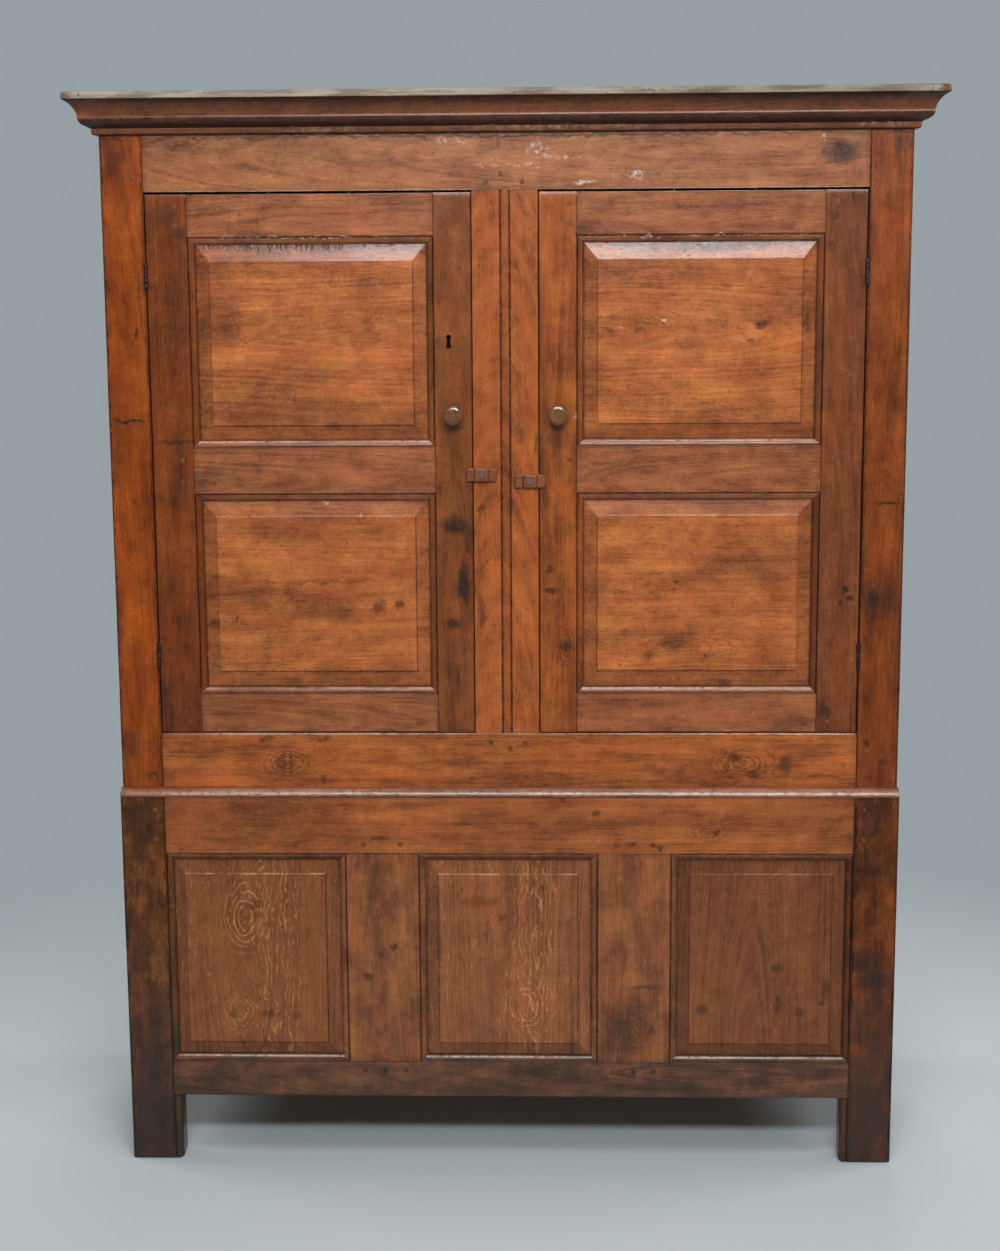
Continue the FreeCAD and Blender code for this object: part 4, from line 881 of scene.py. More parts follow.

# %% [markdown]
# ## The boards' own colours
# No two boards of the press have aged alike: the doors' stiles are darker than their panels,
# the legs are darkest, and the feet are darker and greyer towards the floor. Each group of
# boards gets its own finish, with its own stains and knots, and a few painted shadow and
# highlight lines, at their places: middle across and up, half width and half height in metres,
# and strength.

# %% Finishes by group
UPRIGHT, LEVEL = (.035, .035, .16), (.12, .03, .03)     # patches on stiles and on rails
finishes = {
    "post_left": oak("oak_post_left", colour(138, 62, 8),
        figures=[mottled((.035, .035, .14), (1.2, 1.2, 1.15), (.78, .74, .76))],
        # The first dark mark is a painted shadow line under the cornice; the others are stains.
        stains_and_shadows=[(-.69, 1.89, .04, .0032, .7), (-.7, 1.874, .02, .02, .4),
            (-.687, 1.851, .016, .024, .45), (-.711, 1.628, .011, .016, .5),
            (-.657, 1.551, .005, .011, .8), (-.673, 1.395, .033, .003, .9),
            (-.671, 1.251, .006, .007, .6), (-.697, .804, .021, .038, .6),
            (-.653, .747, .009, .009, .7), (-.709, 1.035, .009, .074, .5)]),
    "post_right": oak("oak_post_right", colour(122, 58, 17),
        figures=[mottled((.035, .035, .12), (1.2, 1.18, 1.1), (.74, .72, .76)),
            swirl(.658, 1.072, .006, .009, 5, .45)],
        # The first dark mark is a painted shadow line under the cornice; the others are stains.
        stains_and_shadows=[(.69, 1.89, .04, .0032, .7), (.655, 1.86, .005, .03, .5),
            (.684, 1.862, .008, .022, .5), (.701, 1.872, .006, .014, .4),
            (.682, 1.243, .024, .004, .9), (.658, 1.072, .015, .02, .9),
            (.694, 1.076, .005, .005, .8), (.672, 1.07, .033, .064, .45),
            (.656, .803, .007, .007, .7), (.683, .771, .009, .009, .6)]),
    "top_rail": oak("oak_top_rail", colour(148, 91, 55),
        figures=[mottled(LEVEL, (1.1, 1.08, 1.06), (.84, .8, .82))],
        stains_and_shadows=[(.585, 1.857, .038, .024, .9), (-.012, 1.878, .004, .02, .5),
            # The first mark on the next line is a painted shadow line under the cornice; the rest are
            # stains.
            (0, 1.89, .78, .0032, .7), (-.66, 1.874, .006, .03, .5), (.1, 1.8, .2, .003, .3)],
        scuffs_and_highlights=[(.062, 1.864, .023, .016, .8), (-.091, 1.88, .029, .004, .6),
            (.141, 1.809, .021, .005, .8), (.233, 1.82, .016, .009, .9),
            (.278, 1.808, .007, .005, .8), (.556, 1.881, .005, .004, .9),
            (.02, 1.838, .09, .002, .5), (.1, 1.852, .05, .002, .5)]),
    "muntin": oak("oak_muntin", colour(158, 83, 37),
        stains_and_shadows=[(.053, 1.353, .004, .02, .7), (.018, 1.666, .007, .009, .5),
            (-.044, 1.238, .007, .013, .6), (-.045, 1.053, .007, .036, .5)]),
    "bottom_rail": oak("oak_bottom_rail", colour(161, 87, 39),
        figures=[mottled(LEVEL, (1.18, 1.16, 1.1), (.72, .7, .76)),
            swirl(-.407, .768, .011, .007, 6, .5), swirl(.43, .768, .013, .007, 7, .45)],
        stains_and_shadows=[(-.415, .769, .008, .03, .6), (-.399, .77, .006, .026, .6),
            (-.338, .739, .009, .009, .6), (-.442, .813, .019, .007, .6),
            (-.337, .813, .015, .007, .6), (.414, .78, .015, .011, .7),
            (.449, .747, .015, .007, .7), (.508, .765, .013, .026, .6)]),
    "left_hinge": oak("oak_left_hinge_stile", colour(120, 56, 16),
        figures=[mottled(UPRIGHT, (1.2, 1.18, 1.1), (.78, .76, .8))],
        stains_and_shadows=[(-.573, 1.723, .016, .015, .6), (-.6, 1.758, .034, .028, .5),
            (-.59, 1.6, .02, .06, .3), (-.592, 1.358, .036, .005, .7),
            (-.633, .886, .019, .046, .5)]),
    "left_lock": oak("oak_left_lock_stile", colour(118, 63, 28),
        figures=[mottled(UPRIGHT, (1.15, 1.12, 1.08), (.8, .78, .8))],
        stains_and_shadows=[(-.092, 1.206, .029, .02, .9), (-.077, 1.102, .011, .047, .9),
            (-.094, 1.026, .015, .011, .8), (-.068, 1.18, .008, .03, .6),
            (-.11, 1.15, .006, .02, .4), (-.093, 1.38, .02, .01, .5)]),
    "right_lock": oak("oak_right_lock_stile", colour(144, 75, 29),
        figures=[mottled((.035, .035, .14), (1.2, 1.18, 1.1), (.72, .7, .75)),
            swirl(.107, .986, .006, .011, 5, .5)],
        stains_and_shadows=[(.08, 1.089, .016, .007, .8), (.078, 1.124, .009, .007, .7),
            (.107, .986, .016, .011, .8), (.089, 1.359, .014, .06, .45), (.068, 1.3, .01, .09, .4),
            (.1, 1.2, .02, .03, .35), (.093, 1.379, .016, .01, .5)],
        scuffs_and_highlights=[(.124, 1.402, .004, .006, .8)]),
    "right_hinge": oak("oak_right_hinge_stile", colour(113, 59, 28),
        figures=[mottled(UPRIGHT, (1.2, 1.18, 1.1), (.78, .76, .8))],
        stains_and_shadows=[(.606, 1.09, .008, .008, 1.0), (.618, 1.072, .012, .007, .9),
            (.602, 1.062, .005, .005, .8), (.578, .864, .015, .022, .6)]),
    "door_rail": oak("oak_door_rails", colour(145, 84, 50),
        figures=[mottled((.11, .03, .03), (1.14, 1.12, 1.08), (.8, .78, .8))],
        # Painted highlight lines along the top mouldings of the upper panels.
        scuffs_and_highlights=[(-.3435, 1.7165, .23, .0016, .5), (.3435, 1.7165, .23, .0016, .6)]),
    "door_panel": oak("oak_door_panels", colour(167, 94, 47), curl=0.10, ring=0.8,
        figures=[mottled((.1, .05, .05), (1.16, 1.16, 1.14), (.8, .74, .76)),
            swirl(.33, .985, .03, .0065, 6, .3)],
        chatter=[(-.4, 1.708, .17, .014, 1.0), (-.22, 1.712, .1, .008, .8)],
        stains_and_shadows=[(-.3435, 1.7045, .26, .017, .7), (.3435, 1.7045, .26, .017, .8),
            (-.3435, 1.251, .26, .017, .16), (.3435, 1.251, .26, .017, .1),
            (-.541, 1.53, .012, .2, .25), (-.533, 1.026, .011, .013, .6),
            (-.489, 1.035, .006, .006, .5), (-.348, 1.048, .082, .015, .3),
            (-.195, 1.062, .009, .009, .7), (-.232, 1.057, .013, .016, .7),
            (-.32, 1.104, .109, .005, .4), (-.366, 1.486, .108, .036, .25),
            (-.36, 1.408, .26, .03, .3), (-.5, 1.6, .03, .1, .25), (.5, 1.64, .05, .05, .2),
            (.44, 1.13, .1, .05, .22), (-.4, 1.2, .09, .03, .22), (-.149, 1.691, .014, .005, .6),
            (.302, .992, .027, .016, .5), (.257, .966, .016, .013, .5),
            (.395, .917, .015, .005, .5), (.481, 1.166, .058, .051, .2),
            (.305, 1.103, .005, .005, .7), (.359, .969, .007, .005, .6),
            (.453, 1.562, .015, .009, .9), (.432, 1.533, .01, .006, .6),
            (.533, 1.564, .008, .024, .6), (.344, 1.526, .108, .011, .25)],
        scuffs_and_highlights=[(.287, 1.57, .009, .003, 1.0), (.208, 1.557, .008, .0025, .9),
            (-.328, 1.246, .01, .0035, 1.0), (-.257, 1.224, .014, .003, .9)]),
    "base_rail_top": oak("oak_base_top_rail", colour(149, 82, 40),
        figures=[mottled(LEVEL, (1.15, 1.14, 1.1), (.78, .76, .8)),
            swirl(.37, .64, .012, .006, 5, .35)],
        stains_and_shadows=[(.101, .698, .006, .006, .7), (.162, .675, .007, .007, .7),
            (.228, .617, .011, .007, .7), (.277, .612, .007, .007, .7),
            (.382, .639, .007, .007, .7), (-.236, .626, .022, .007, .5)]),
    "base_rail_low": oak("oak_base_bottom_rail", colour(109, 69, 46), ring=1.6, darker_below=(.08, .3, .55),
        figures=[mottled((.11, .022, .022), (1.34, 1.23, 1.12), (.68, .69, .75))],
        stains_and_shadows=[(.339, .147, .019, .012, .6), (.473, .157, .021, .014, .6),
            (-.018, .141, .193, .023, .35), (-.266, .148, .014, .01, .6)]),
    "leg_left": oak("oak_leg_left", colour(96, 53, 18), cloud=2.0, streak=1.4, darker_below=(.02, .55, .8),
        figures=[mottled((.03, .03, .06), (1.55, 1.5, 1.35), (.62, .62, .66)),
            swirl(-.69, .672, .0075, .007, 6, .5)],
        stains_and_shadows=[(-.69, .673, .024, .032, .6), (-.685, .544, .008, .008, .7),
            (-.702, .345, .015, .174, .4), (-.671, .097, .043, .089, .5)]),
    "leg_right": oak("oak_leg_right", colour(96, 45, 6), cloud=2.0, streak=1.4, darker_below=(.02, .5, .7),
        figures=[mottled((.03, .03, .06), (1.5, 1.45, 1.35), (.62, .62, .66)),
            swirl(.674, .68, .008, .007, 6, .5), swirl(.662, .38, .007, .009, 4, .35)],
        stains_and_shadows=[(.674, .678, .037, .028, .5), (.646, .703, .011, .007, .8),
            (.66, .644, .022, .022, .6), (.678, .357, .021, .023, .7), (.654, .389, .019, .048, .5),
            (.675, .106, .039, .098, .5)]),
    "base_muntin": oak("oak_base_muntins", colour(138, 81, 44),
        figures=[mottled((.04, .04, .08), (1.2, 1.18, 1.12), (.74, .74, .8)),
            swirl(.24, .267, .009, .011, 6, .35)],
        stains_and_shadows=[(-.262, .362, .013, .011, .7), (-.213, .422, .006, .008, .7),
            (-.172, .419, .008, .008, .6), (.225, .267, .051, .065, .4),
            (.25, .343, .032, .006, .6), (.267, .261, .01, .01, .6)]),
    "base_panel_left": oak("oak_base_panel_left", colour(132, 75, 38),
        figures=[ray_flecks(-.487, .48, .0085, .014, 7, .6, .018),
            ray_flecks(-.5, .295, .008, .011, 5, .5, .018),
            ray_flecks(-.43, .44, .009, .12, 7, .38, .04), scattered_rays(.34)],
        stains_and_shadows=[(-.516, .289, .01, .01, .5), (-.442, .289, .023, .008, .5),
            (-.395, .285, .01, .01, .5), (-.47, .5, .02, .01, .5)]),
    "base_panel_centre": oak("oak_base_panel_centre", colour(141, 82, 45),
        figures=[ray_flecks(.035, .31, .0085, .013, 6, .6, .018),
            ray_flecks(.05, .42, .008, .08, 7, .42, .035), scattered_rays(.3)],
        stains_and_shadows=[(-.049, .507, .045, .011, .4), (-.012, .475, .009, .009, .5),
            (.064, .532, .009, .009, .5)]),
    "base_panel_right": oak("oak_base_panel_right", colour(121, 68, 34),
        figures=[scattered_rays(.1)],
        stains_and_shadows=[(.358, .297, .011, .011, .6), (.502, .312, .008, .019, .6),
            (.54, .295, .011, .01, .6), (.588, .34, .008, .023, .6), (.497, .38, .011, .011, .5),
            (.58, .313, .008, .008, .6)]),
    "nosing": oak("oak_nosing", colour(139, 74, 32), gloss=0.29, sheen=0.7, streak=2.0,
        # A painted shade line along the lower part of the nose, which faces down.
        stains_and_shadows=[(0, .7115, .74, .003, .5)]),
    "cornice": oak("oak_cornice_dusty", colour(119, 67, 40), gloss=0.3, streak=1.4,
        dust=(frame_top_z + 0.0012, frame_top_z + 0.0028, colour(160, 148, 130), colour(124, 106, 90)),
        bare=[(.757, 1.957, .011, .013, 1.0), (-.756, 1.955, .012, .011, .7)],
        stains_and_shadows=[(-.7305, 1.959, .0013, .012, .9), (-.75, 1.957, .018, .01, .35),
            (.733, 1.959, .0013, .012, .8), (.0, 1.945, .3, .006, .5), (.3, 1.957, .12, .004, .5),
            (-.55, 1.925, .05, .004, .4), (.52, 1.957, .4, .02, .34), (.05, 1.957, .2, .014, .2)],
        scuffs_and_highlights=[(-.32, 1.902, .08, .005, .2), (.1, 1.902, .2, .005, .2),
            (.66, 1.902, .06, .005, .2)]),
    "side": oak("oak_sides", colour(124, 70, 40)),
    "side_low": oak("oak_base_sides", colour(98, 60, 38), darker_below=(.02, .5, .6)),
    "back": oak("oak_back", colour(122, 100, 80), gloss=0.75, streak=0.8),
    "top": oak("oak_top_boards", colour(104, 88, 74), gloss=0.8),
    "turned": oak("oak_turned", colour(106, 65, 33), gloss=0.13, ring=0.4, sheen=0.5),
    "button": oak("oak_turn_buttons", colour(124, 70, 40), gloss=0.22, ring=0.4, sheen=0.36),
}
print(len(finishes), "finishes for the boards")

# %% [markdown]
# ## Several boards in one node
# A node such as the side rails holds several boards. Their meshes aren't joined to each other,
# so boards are told apart by which corners share a triangle: every corner takes the lowest
# number among its neighbours, again and again, until nothing changes.

# %% Boards of a node


def boards_of(node):
    """The lowest and highest corners of each separate solid of a CAD node."""
    mesh = frame["nodes"][node].data
    mesh.calc_loop_triangles()
    corners = np.empty(3 * len(mesh.vertices))
    mesh.vertices.foreach_get("co", corners)
    triangles = np.empty(3 * len(mesh.loop_triangles), int)
    mesh.loop_triangles.foreach_get("vertices", triangles)
    points, same = np.unique(np.round(corners.reshape(-1, 3), 5), axis=0, return_inverse=True)
    triangles = same.ravel()[triangles].reshape(-1, 3)
    label, before = np.arange(len(points)), None
    while before is None or (label != before).any():
        before = label.copy()
        np.minimum.at(label, triangles.ravel(), np.repeat(label[triangles].min(1), 3))
    return [(points[label == k].min(0), points[label == k].max(0)) for k in np.unique(label)]


print("side rails:", len(boards_of("upper_side_rails")), "boards")


def within(node, order, seed, x=None, z=None, **wear):
    """A worn board in a node's box, with the x or z limits that its shoulders give it."""
    low, high = limits(node)
    for axis, pair in ((0, x), (2, z)):
        if pair:
            low[axis], high[axis] = pair
    return board(low, high, order, seed, **wear)


def each_board(node, order, seed, **wear):
    """A worn board for each separate solid of a node."""
    return [board(low, high, order, seed + k, **wear)
            for k, (low, high) in enumerate(boards_of(node))]


def dress(node, skins, finish, sharp=40.0):
    """Makes the piece that stands for a node and rides on the node's body."""
    piece = make("worn_" + node, skins, BODY_OF[node], finishes[finish], sharp)
    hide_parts(node)


# %% [markdown]
# ## The upper stage
# Two posts, two rails and a muntin make the front. Of these, the posts are handled most and
# their arrises get the widest rounding. The muntin has a bead sunk in a channel down its middle,
# so it is carried as an outline instead.

# %% Posts and rails of the upper front
for side, seed in (("left", 11), ("right", 12)):
    dress("upper_post_" + side,
          [within("upper_post_" + side, "zxy", seed, arris=0.0020, chip=0.0035, step=0.009)],
          "post_" + side)
inner = (-opening_x, opening_x)
# The top rail's lower front arris and the bottom rail's upper one are worn pale and painted with the
# highlight that they catch.
dress("upper_top_rail", [within("upper_top_rail", "xzy", 13, x=inner, step=0.010, rubbed=(2,))],
      "top_rail")
dress("upper_bottom_rail", [within("upper_bottom_rail", "xzy", 14, x=inner, step=0.010,
                                   arris=0.0016, rubbed=(3,))], "bottom_rail")

muntin_x = limits("centre_muntin")[1][0]
muntin_thick = frame_back_y - face_y
quarter = np.linspace(0, np.pi / 2, 4)
arch = np.linspace(np.pi, 0, 13)
half_front = np.stack([muntin_x - 0.0004 + 0.0004 * np.cos(quarter),
                       0.0004 - 0.0004 * np.sin(quarter)], -1)
channel = [(0.0130, 0.0), (0.0102, 0.0), (0.00965, 0.0007), (0.00965, 0.0036), (0.0070, 0.0037)]
bead = np.stack([0.0069 * np.cos(arch[::-1]), 0.0037 - 0.0031 * np.sin(arch)], -1)[1:-1]
right_half = np.concatenate([[(muntin_x, muntin_thick)], half_front, channel])
left_half = right_half[::-1] * [-1, 1]
muntin_outline = np.concatenate([right_half, bead, left_half])
# The channel's quirks are darkest and its floor darker: dirt, and painted shade in the recess.
in_channel = np.abs(muntin_outline[:, 0]) < 0.0098
quirk = in_channel & (muntin_outline[:, 1] > 0.0032)
muntin = carried(muntin_outline, AXIS["z"], AXIS["x"], AXIS["y"], *opening_z, seed=15,
                 step=0.012, dirt=np.where(quirk, 1.0, 0.28 * in_channel))
dress("centre_muntin", [shifted(muntin, face_y * AXIS["y"])], "muntin")
print("the muntin's outline has", len(muntin_outline), "points")

# %% [markdown]
# ## Sides, back and top
# Each side has rails tenoned into the posts and fielded panels between them. The back and the
# top aren't meant to be seen: plain boards, greyed by dust, with narrow gaps between them.

# %% Sides, back and top boards


def side_boards(node, seed, front_y, rear_y, finish):
    """The rails of both sides, from shoulder to shoulder."""
    skins = []
    for k, (low, high) in enumerate(boards_of(node)):
        low[1], high[1] = front_y, rear_y
        skins.append(board(low, high, "yzx", seed + k, step=0.02))
    dress(node, skins, finish)


def side_panels(node, seed, finish):
    """The fielded panels of both sides, each facing away from the middle."""
    skins = []
    for k, (low, high) in enumerate(boards_of(node)):
        facing = np.sign(low[0] + high[0])
        skins.append(panel(low, high, "yzx", facing, (0.030, 0.030), seed + k))
    dress(node, skins, finish)


rear_front_y = limits("upper_back_frame")[0][1]
side_boards("upper_side_rails", 20, post_back_y, rear_front_y, "side")
side_boards("base_side_rails", 30, right_leg[1][1], rear_front_y, "side_low")
side_panels("upper_side_panels", 40, "side")
side_panels("base_side_panels", 45, "side_low")

BACK_RAIL_FACE, BACK_BOARD_FACE = 0.036, 0.012     # how far these lie in front of the back
BACK_RAIL_TALL, LOW_RAIL_TALL = 0.090, 0.069
ROUGH = {"step": 0.03, "arris": 0.0015, "wave": 0.0006}      # wear of the plain boards
back_rail_y = (back_y - BACK_RAIL_FACE, back_y - BACK_BOARD_FACE)
for node, spans, bottom, top, rails in (
        ("upper", "upper_back_boards", stage_z, frame_top_z,
         ((stage_z, limits("floor_boards")[0][2]), (frame_top_z - BACK_RAIL_TALL, frame_top_z))),
        ("base", "base_back_boards", 0.0, base_top_z,
         ((foot_z, foot_z + LOW_RAIL_TALL), (base_top_z - BACK_RAIL_TALL, base_top_z)))):
    edge = limits(spans)[1][0]
    reach = limits(node + "_back_frame")[1][0]
    skins = [board((x0, rear_front_y, bottom), (x1, back_y, top), "zxy", 50 + k, arris=0.002,
                   ends=(0.003, 0.0004), step=0.02)
             for k, (x0, x1) in enumerate(((-reach, -edge), (edge, reach)))]
    skins += [board((-edge, back_rail_y[0], z0), (edge, back_rail_y[1], z1), "xzy", 54 + k,
                    step=0.05) for k, (z0, z1) in enumerate(rails)]
    dress(node + "_back_frame", skins, "side" if node == "upper" else "side_low")
    dress(spans, each_board(spans, "zxy", 60, **ROUGH), "back")
dress("top_boards", each_board("top_boards", "xyz", 80, **ROUGH), "top")

# %% [markdown]
# ## The cornice
# One moulding runs across the front and returns along both sides: a plain fillet whose upper
# edge collects dust, a hollow, a round, and a small lower fillet. It is one outline carried
# three times. At the front corners the runs slide with their distance from the wall of the
# press, which mitres them, and the tips of the mitres are worn back.

# %% Cornice
CORNICE_OUT, CORNICE_TALL = 0.054, 0.074
CORNICE_ABOVE = 0.015    # how far it stands above the posts
TIP_WEAR = 0.0040        # how far the tip of a mitre is worn back
HOLLOW_POINTS = 12


def through(start, bend, end, count):
    """Points on the circle through three points, from the first to the last."""
    start, bend, end = (np.array(point, float) for point in (start, bend, end))
    matrix = 2 * np.array([bend - start, end - start])
    centre = np.linalg.solve(matrix, [bend @ bend - start @ start, end @ end - start @ start])
    angles = [np.arctan2(*(point - centre)[::-1]) for point in (start, bend, end)]
    first, middle, last = np.unwrap(angles)
    along = np.linspace(first, last, count)
    return centre + np.hypot(*(start - centre)) * np.stack([np.cos(along), np.sin(along)], -1)


top_fillet = [(0, CORNICE_TALL), (CORNICE_OUT - .0016, CORNICE_TALL),
              (CORNICE_OUT - .0005, CORNICE_TALL - .0005), (CORNICE_OUT, CORNICE_TALL - .0016),
              (CORNICE_OUT, .0630), (CORNICE_OUT - .0004, .0621),
              (CORNICE_OUT - .0012, .0616), (.0518, .0614)]
hollow = through((.0508, .0607), (.0352, .0476), (.0290, .0348), HOLLOW_POINTS)
roll = [(.0289, .0336), (.0291, .0324), (.0293, .0314), (.0292, .0306), (.0289, .0290),
        (.0282, .0270), (.0271, .0250), (.0256, .0231), (.0236, .0213), (.0212, .0198),
        (.0184, .0185), (.0152, .0171), (.0120, .0155), (.0110, .0150)]
lower_fillet = [(.0105, .0146), (.0101, .0139), (.0099, .0128), (.0098, .0078), (.0094, .0060),
                (.0070, .0038), (0, .0034)]
cornice_outline = np.concatenate([top_fillet, hollow, roll, lower_fillet])
# Dirt along the top, painted shade under the top fillet, down the hollow's top and the round's
# underside, which face down, and in lines at both edges of the lower fillet; the one value below zero
# is a painted highlight on the lower fillet's upper edge.
cornice_dirt_and_painted_light = np.concatenate([[0.6, 0.35, 0.1, 0, 0, 0.4, 1, 1.3],
                               1.1 * np.linspace(1, 0, HOLLOW_POINTS) ** 1.2,
                               [0, 0, 0, 0.3], np.linspace(0.8, 1.35, 10),
                               [1.3, -0.3, 0.1, 0.1, 0.3, 1.3, 1.3]])


def cornice_run(along, across, start, end, slide, seed):
    """One run, whose mitred ends are worn back, most of all at the tip."""
    made = carried(cornice_outline, AXIS[along], across, AXIS["z"], start, end, slide, seed,
                   0.012, cornice_dirt_and_painted_light, 0.0004)
    points = made.points.reshape(-1, len(cornice_outline), 3)
    wear = TIP_WEAR * (cornice_outline / [CORNICE_OUT, CORNICE_TALL]).prod(1) ** 2
    for row, inward in ((0, 1), (-1, -1)):
        if slide[row]:
            points[row] += wear[:, None] * (inward * AXIS[along] - across)
    return shifted(made._replace(points=points.reshape(-1, 3)),
                   (frame_top_z - CORNICE_TALL + CORNICE_ABOVE) * AXIS["z"])


front_run = cornice_run("x", -AXIS["y"], -half_upper, half_upper, (-1, 1), 90)
front_run = shifted(front_run, face_y * AXIS["y"])
dress("cornice_front", [front_run], "cornice")
returns = []
for sign in (-1, 1):
    run = cornice_run("y", sign * AXIS["x"], face_y, back_y, (-1, 0), 92 + sign)
    returns.append(shifted(run, sign * half_upper * AXIS["x"]))
dress("cornice_returns", returns, "cornice")
print("cornice from", front_run.points.min(0).round(3), "to", front_run.points.max(0).round(3))

# %% [markdown]
# ## The doors
# Each door is a frame of two stiles and three rails round two fielded panels. The right door is
# worked out from its bays, and the left is the same with its signs changed, but every board
# gets its own seed, so the doors differ as real ones do. Each moulding gets a painted shade on
# the left, right, bottom and top of a bay; the bottom one faces up and gets a painted
# highlight and is rubbed pale.

# %% Door frames
DOOR_SEEDS = {"left": 100, "right": 130}
# Painted shade on the moulding rounds, left, right, bottom and top; the bottom value, below zero, is a
# painted highlight.
DOOR_PAINTED_LIGHT = (0.15, 0.0, -1.1, 0.20)
BASE_PAINTED_LIGHT = (0.30, 0.05, -1.6, 0.80)
door_back_y = limits("right_door_lock_stile")[1][1]
door_thick = door_back_y - face_y
lock_line = limits("right_door_lock_stile")[1][0] - MOULDING
hinge_line = limits("right_door_hinge_stile")[0][0] + MOULDING
rail_z = [limits("right_door_bottom_rail")[1][2] - MOULDING,
          limits("right_door_middle_rail")[0][2] + MOULDING,
          limits("right_door_middle_rail")[1][2] - MOULDING,
          limits("right_door_top_rail")[0][2] + MOULDING]
for side, sign in (("left", -1), ("right", 1)):
    door, seed = side + "_door_", DOOR_SEEDS[side]
    ends = sorted((sign * lock_line, sign * hinge_line))
    lower, upper = Bay(*ends, *rail_z[:2]), Bay(*ends, *rail_z[2:])
    lock_side, hinge_side = ("right", "left") if side == "left" else ("left", "right")
    for k, (stile, edge, line) in enumerate((("lock_stile", lock_side, lock_line),
                                             ("hinge_stile", hinge_side, hinge_line))):
        outer = limits(door + stile)[0 if (stile == "lock_stile") == (sign > 0) else 1][0]
        skins = [within(door + stile, "zxy", seed + k, x=sorted((outer, sign * line)),
                        step=0.009, arris=0.0005)]
        skins += [moulded_edge(bay, edge, face_y, door_thick, seed + 5 + 2 * k + j, DOOR_PAINTED_LIGHT)
                  for j, bay in enumerate((lower, upper))]
        dress(door + stile, skins, side + "_" + stile.split("_")[0])
    for k, (rail, z0, z1, runs) in enumerate((
            ("top_rail", rail_z[3], None, [(upper, "top")]),
            ("middle_rail", rail_z[1], rail_z[2], [(upper, "bottom"), (lower, "top")]),
            ("bottom_rail", None, rail_z[0], [(lower, "bottom")]))):
        low, high = limits(door + rail)
        z0, z1 = (low[2] if z0 is None else z0), (high[2] if z1 is None else z1)
        skins = [within(door + rail, "xzy", seed + 10 + k, x=ends, z=(z0, z1), step=0.009)]
        skins += [moulded_edge(bay, edge, face_y, door_thick, seed + 15 + 2 * k + j, DOOR_PAINTED_LIGHT)
                  for j, (bay, edge) in enumerate(runs)]
        dress(door + rail, skins, "door_rail")

# %% [markdown]
# ## The keyhole
# Only the left door has a lock. Its stile is cut right through, in the shape of a round eye
# over a slot that widens downwards. A hole can't be part of a grid of rows and columns, so a
# Boolean takes the hole's own skin out of the finished stile. The result is kept as a plain
# mesh, and the cutter is thrown away.

# %% Keyhole
KEYHOLE_X, KEYHOLE_HALF = -0.1006, 0.012
EYE, SLOT_HALF = 0.0044, 0.0046
CUT_PAST = 0.01          # how far the cutter stands out of the wood on both sides
key_low, key_high = limits("lock_case")
key_z = (key_low[2] + key_high[2]) / 2
ring = np.radians(np.linspace(-55, 235, 22))
hole_outline = np.concatenate([
    [(SLOT_HALF, -KEYHOLE_HALF)],
    np.stack([EYE * np.cos(ring), KEYHOLE_HALF - EYE + EYE * np.sin(ring)], -1),
    [(-SLOT_HALF, -KEYHOLE_HALF)]])
cutter_skin = shifted(carried(hole_outline, AXIS["y"], AXIS["x"], AXIS["z"], face_y - CUT_PAST,
                              door_back_y + CUT_PAST, wave=0.0), (KEYHOLE_X, 0, key_z))
cutter_mesh = bpy.data.meshes.new("keyhole")
cutter_mesh.from_pydata(cutter_skin.points, [],
                        [face for block in cutter_skin.faces for face in block.tolist()])
cutter = stand("keyhole", cutter_mesh)
stile = bpy.data.objects["worn_left_door_lock_stile"]
cut = stile.modifiers.new("keyhole", "BOOLEAN")
cut.object = cutter
cut.solver = "EXACT"
before = len(stile.data.vertices)
bpy.context.view_layer.update()
whole = stile.evaluated_get(bpy.context.evaluated_depsgraph_get())
stile.data = bpy.data.meshes.new_from_object(whole)
stile.modifiers.clear()
bpy.data.objects.remove(cutter)
print("keyhole: the stile had", before, "points and has", len(stile.data.vertices))

# %% [markdown]
# ## Door panels
# Each panel's grain runs across the door. Its leans move the ends of the field's lines by up to
# a few millimetres, and two more sets of four numbers set the painted shade on the four bevels
# and on the small step round the field, where a value below zero is a painted highlight along
# the step.

# %% Door panels
BEVELS = (0.024, 0.028)
PANEL_SHARP = 7.0        # degrees: creases as shallow as a bevel's edge stay crisp
DOOR_PANELS = {
    "left_door_upper_panel": ((0, .001, 0, .001, -.001, -.002, .002, .003),
                              (.40, .26, .34, .15), (.5, .8, .9, .2)),
    "left_door_lower_panel": ((.001, 0, 0, .001, 0, .0015, .001, 0),
                              (.40, .22, .30, .10), (.4, .9, 1.0, -.4)),
    "right_door_upper_panel": ((0, .001, .001, 0, -.001, 0, .001, .0025),
                               (.38, .34, .34, .10), (.6, .8, .9, .2)),
    "right_door_lower_panel": ((.0005, 0, .001, 0, 0, .0035, 0, .001),
                               (.34, .36, .36, .12), (.8, .5, 1.0, -.7))}
for k, (node, (leans, bevel_shades, steps)) in enumerate(DOOR_PANELS.items()):
    dress(node, [panel(*limits(node), "xzy", -1, BEVELS, 160 + k, leans, bevel_shades, steps)],
          "door_panel", PANEL_SHARP)

# %% [markdown]
# ## The base
# Legs, rails and two muntins frame three panels whose grain runs upright. The same moulding
# goes round each bay, and on the legs it simply runs on down the foot.

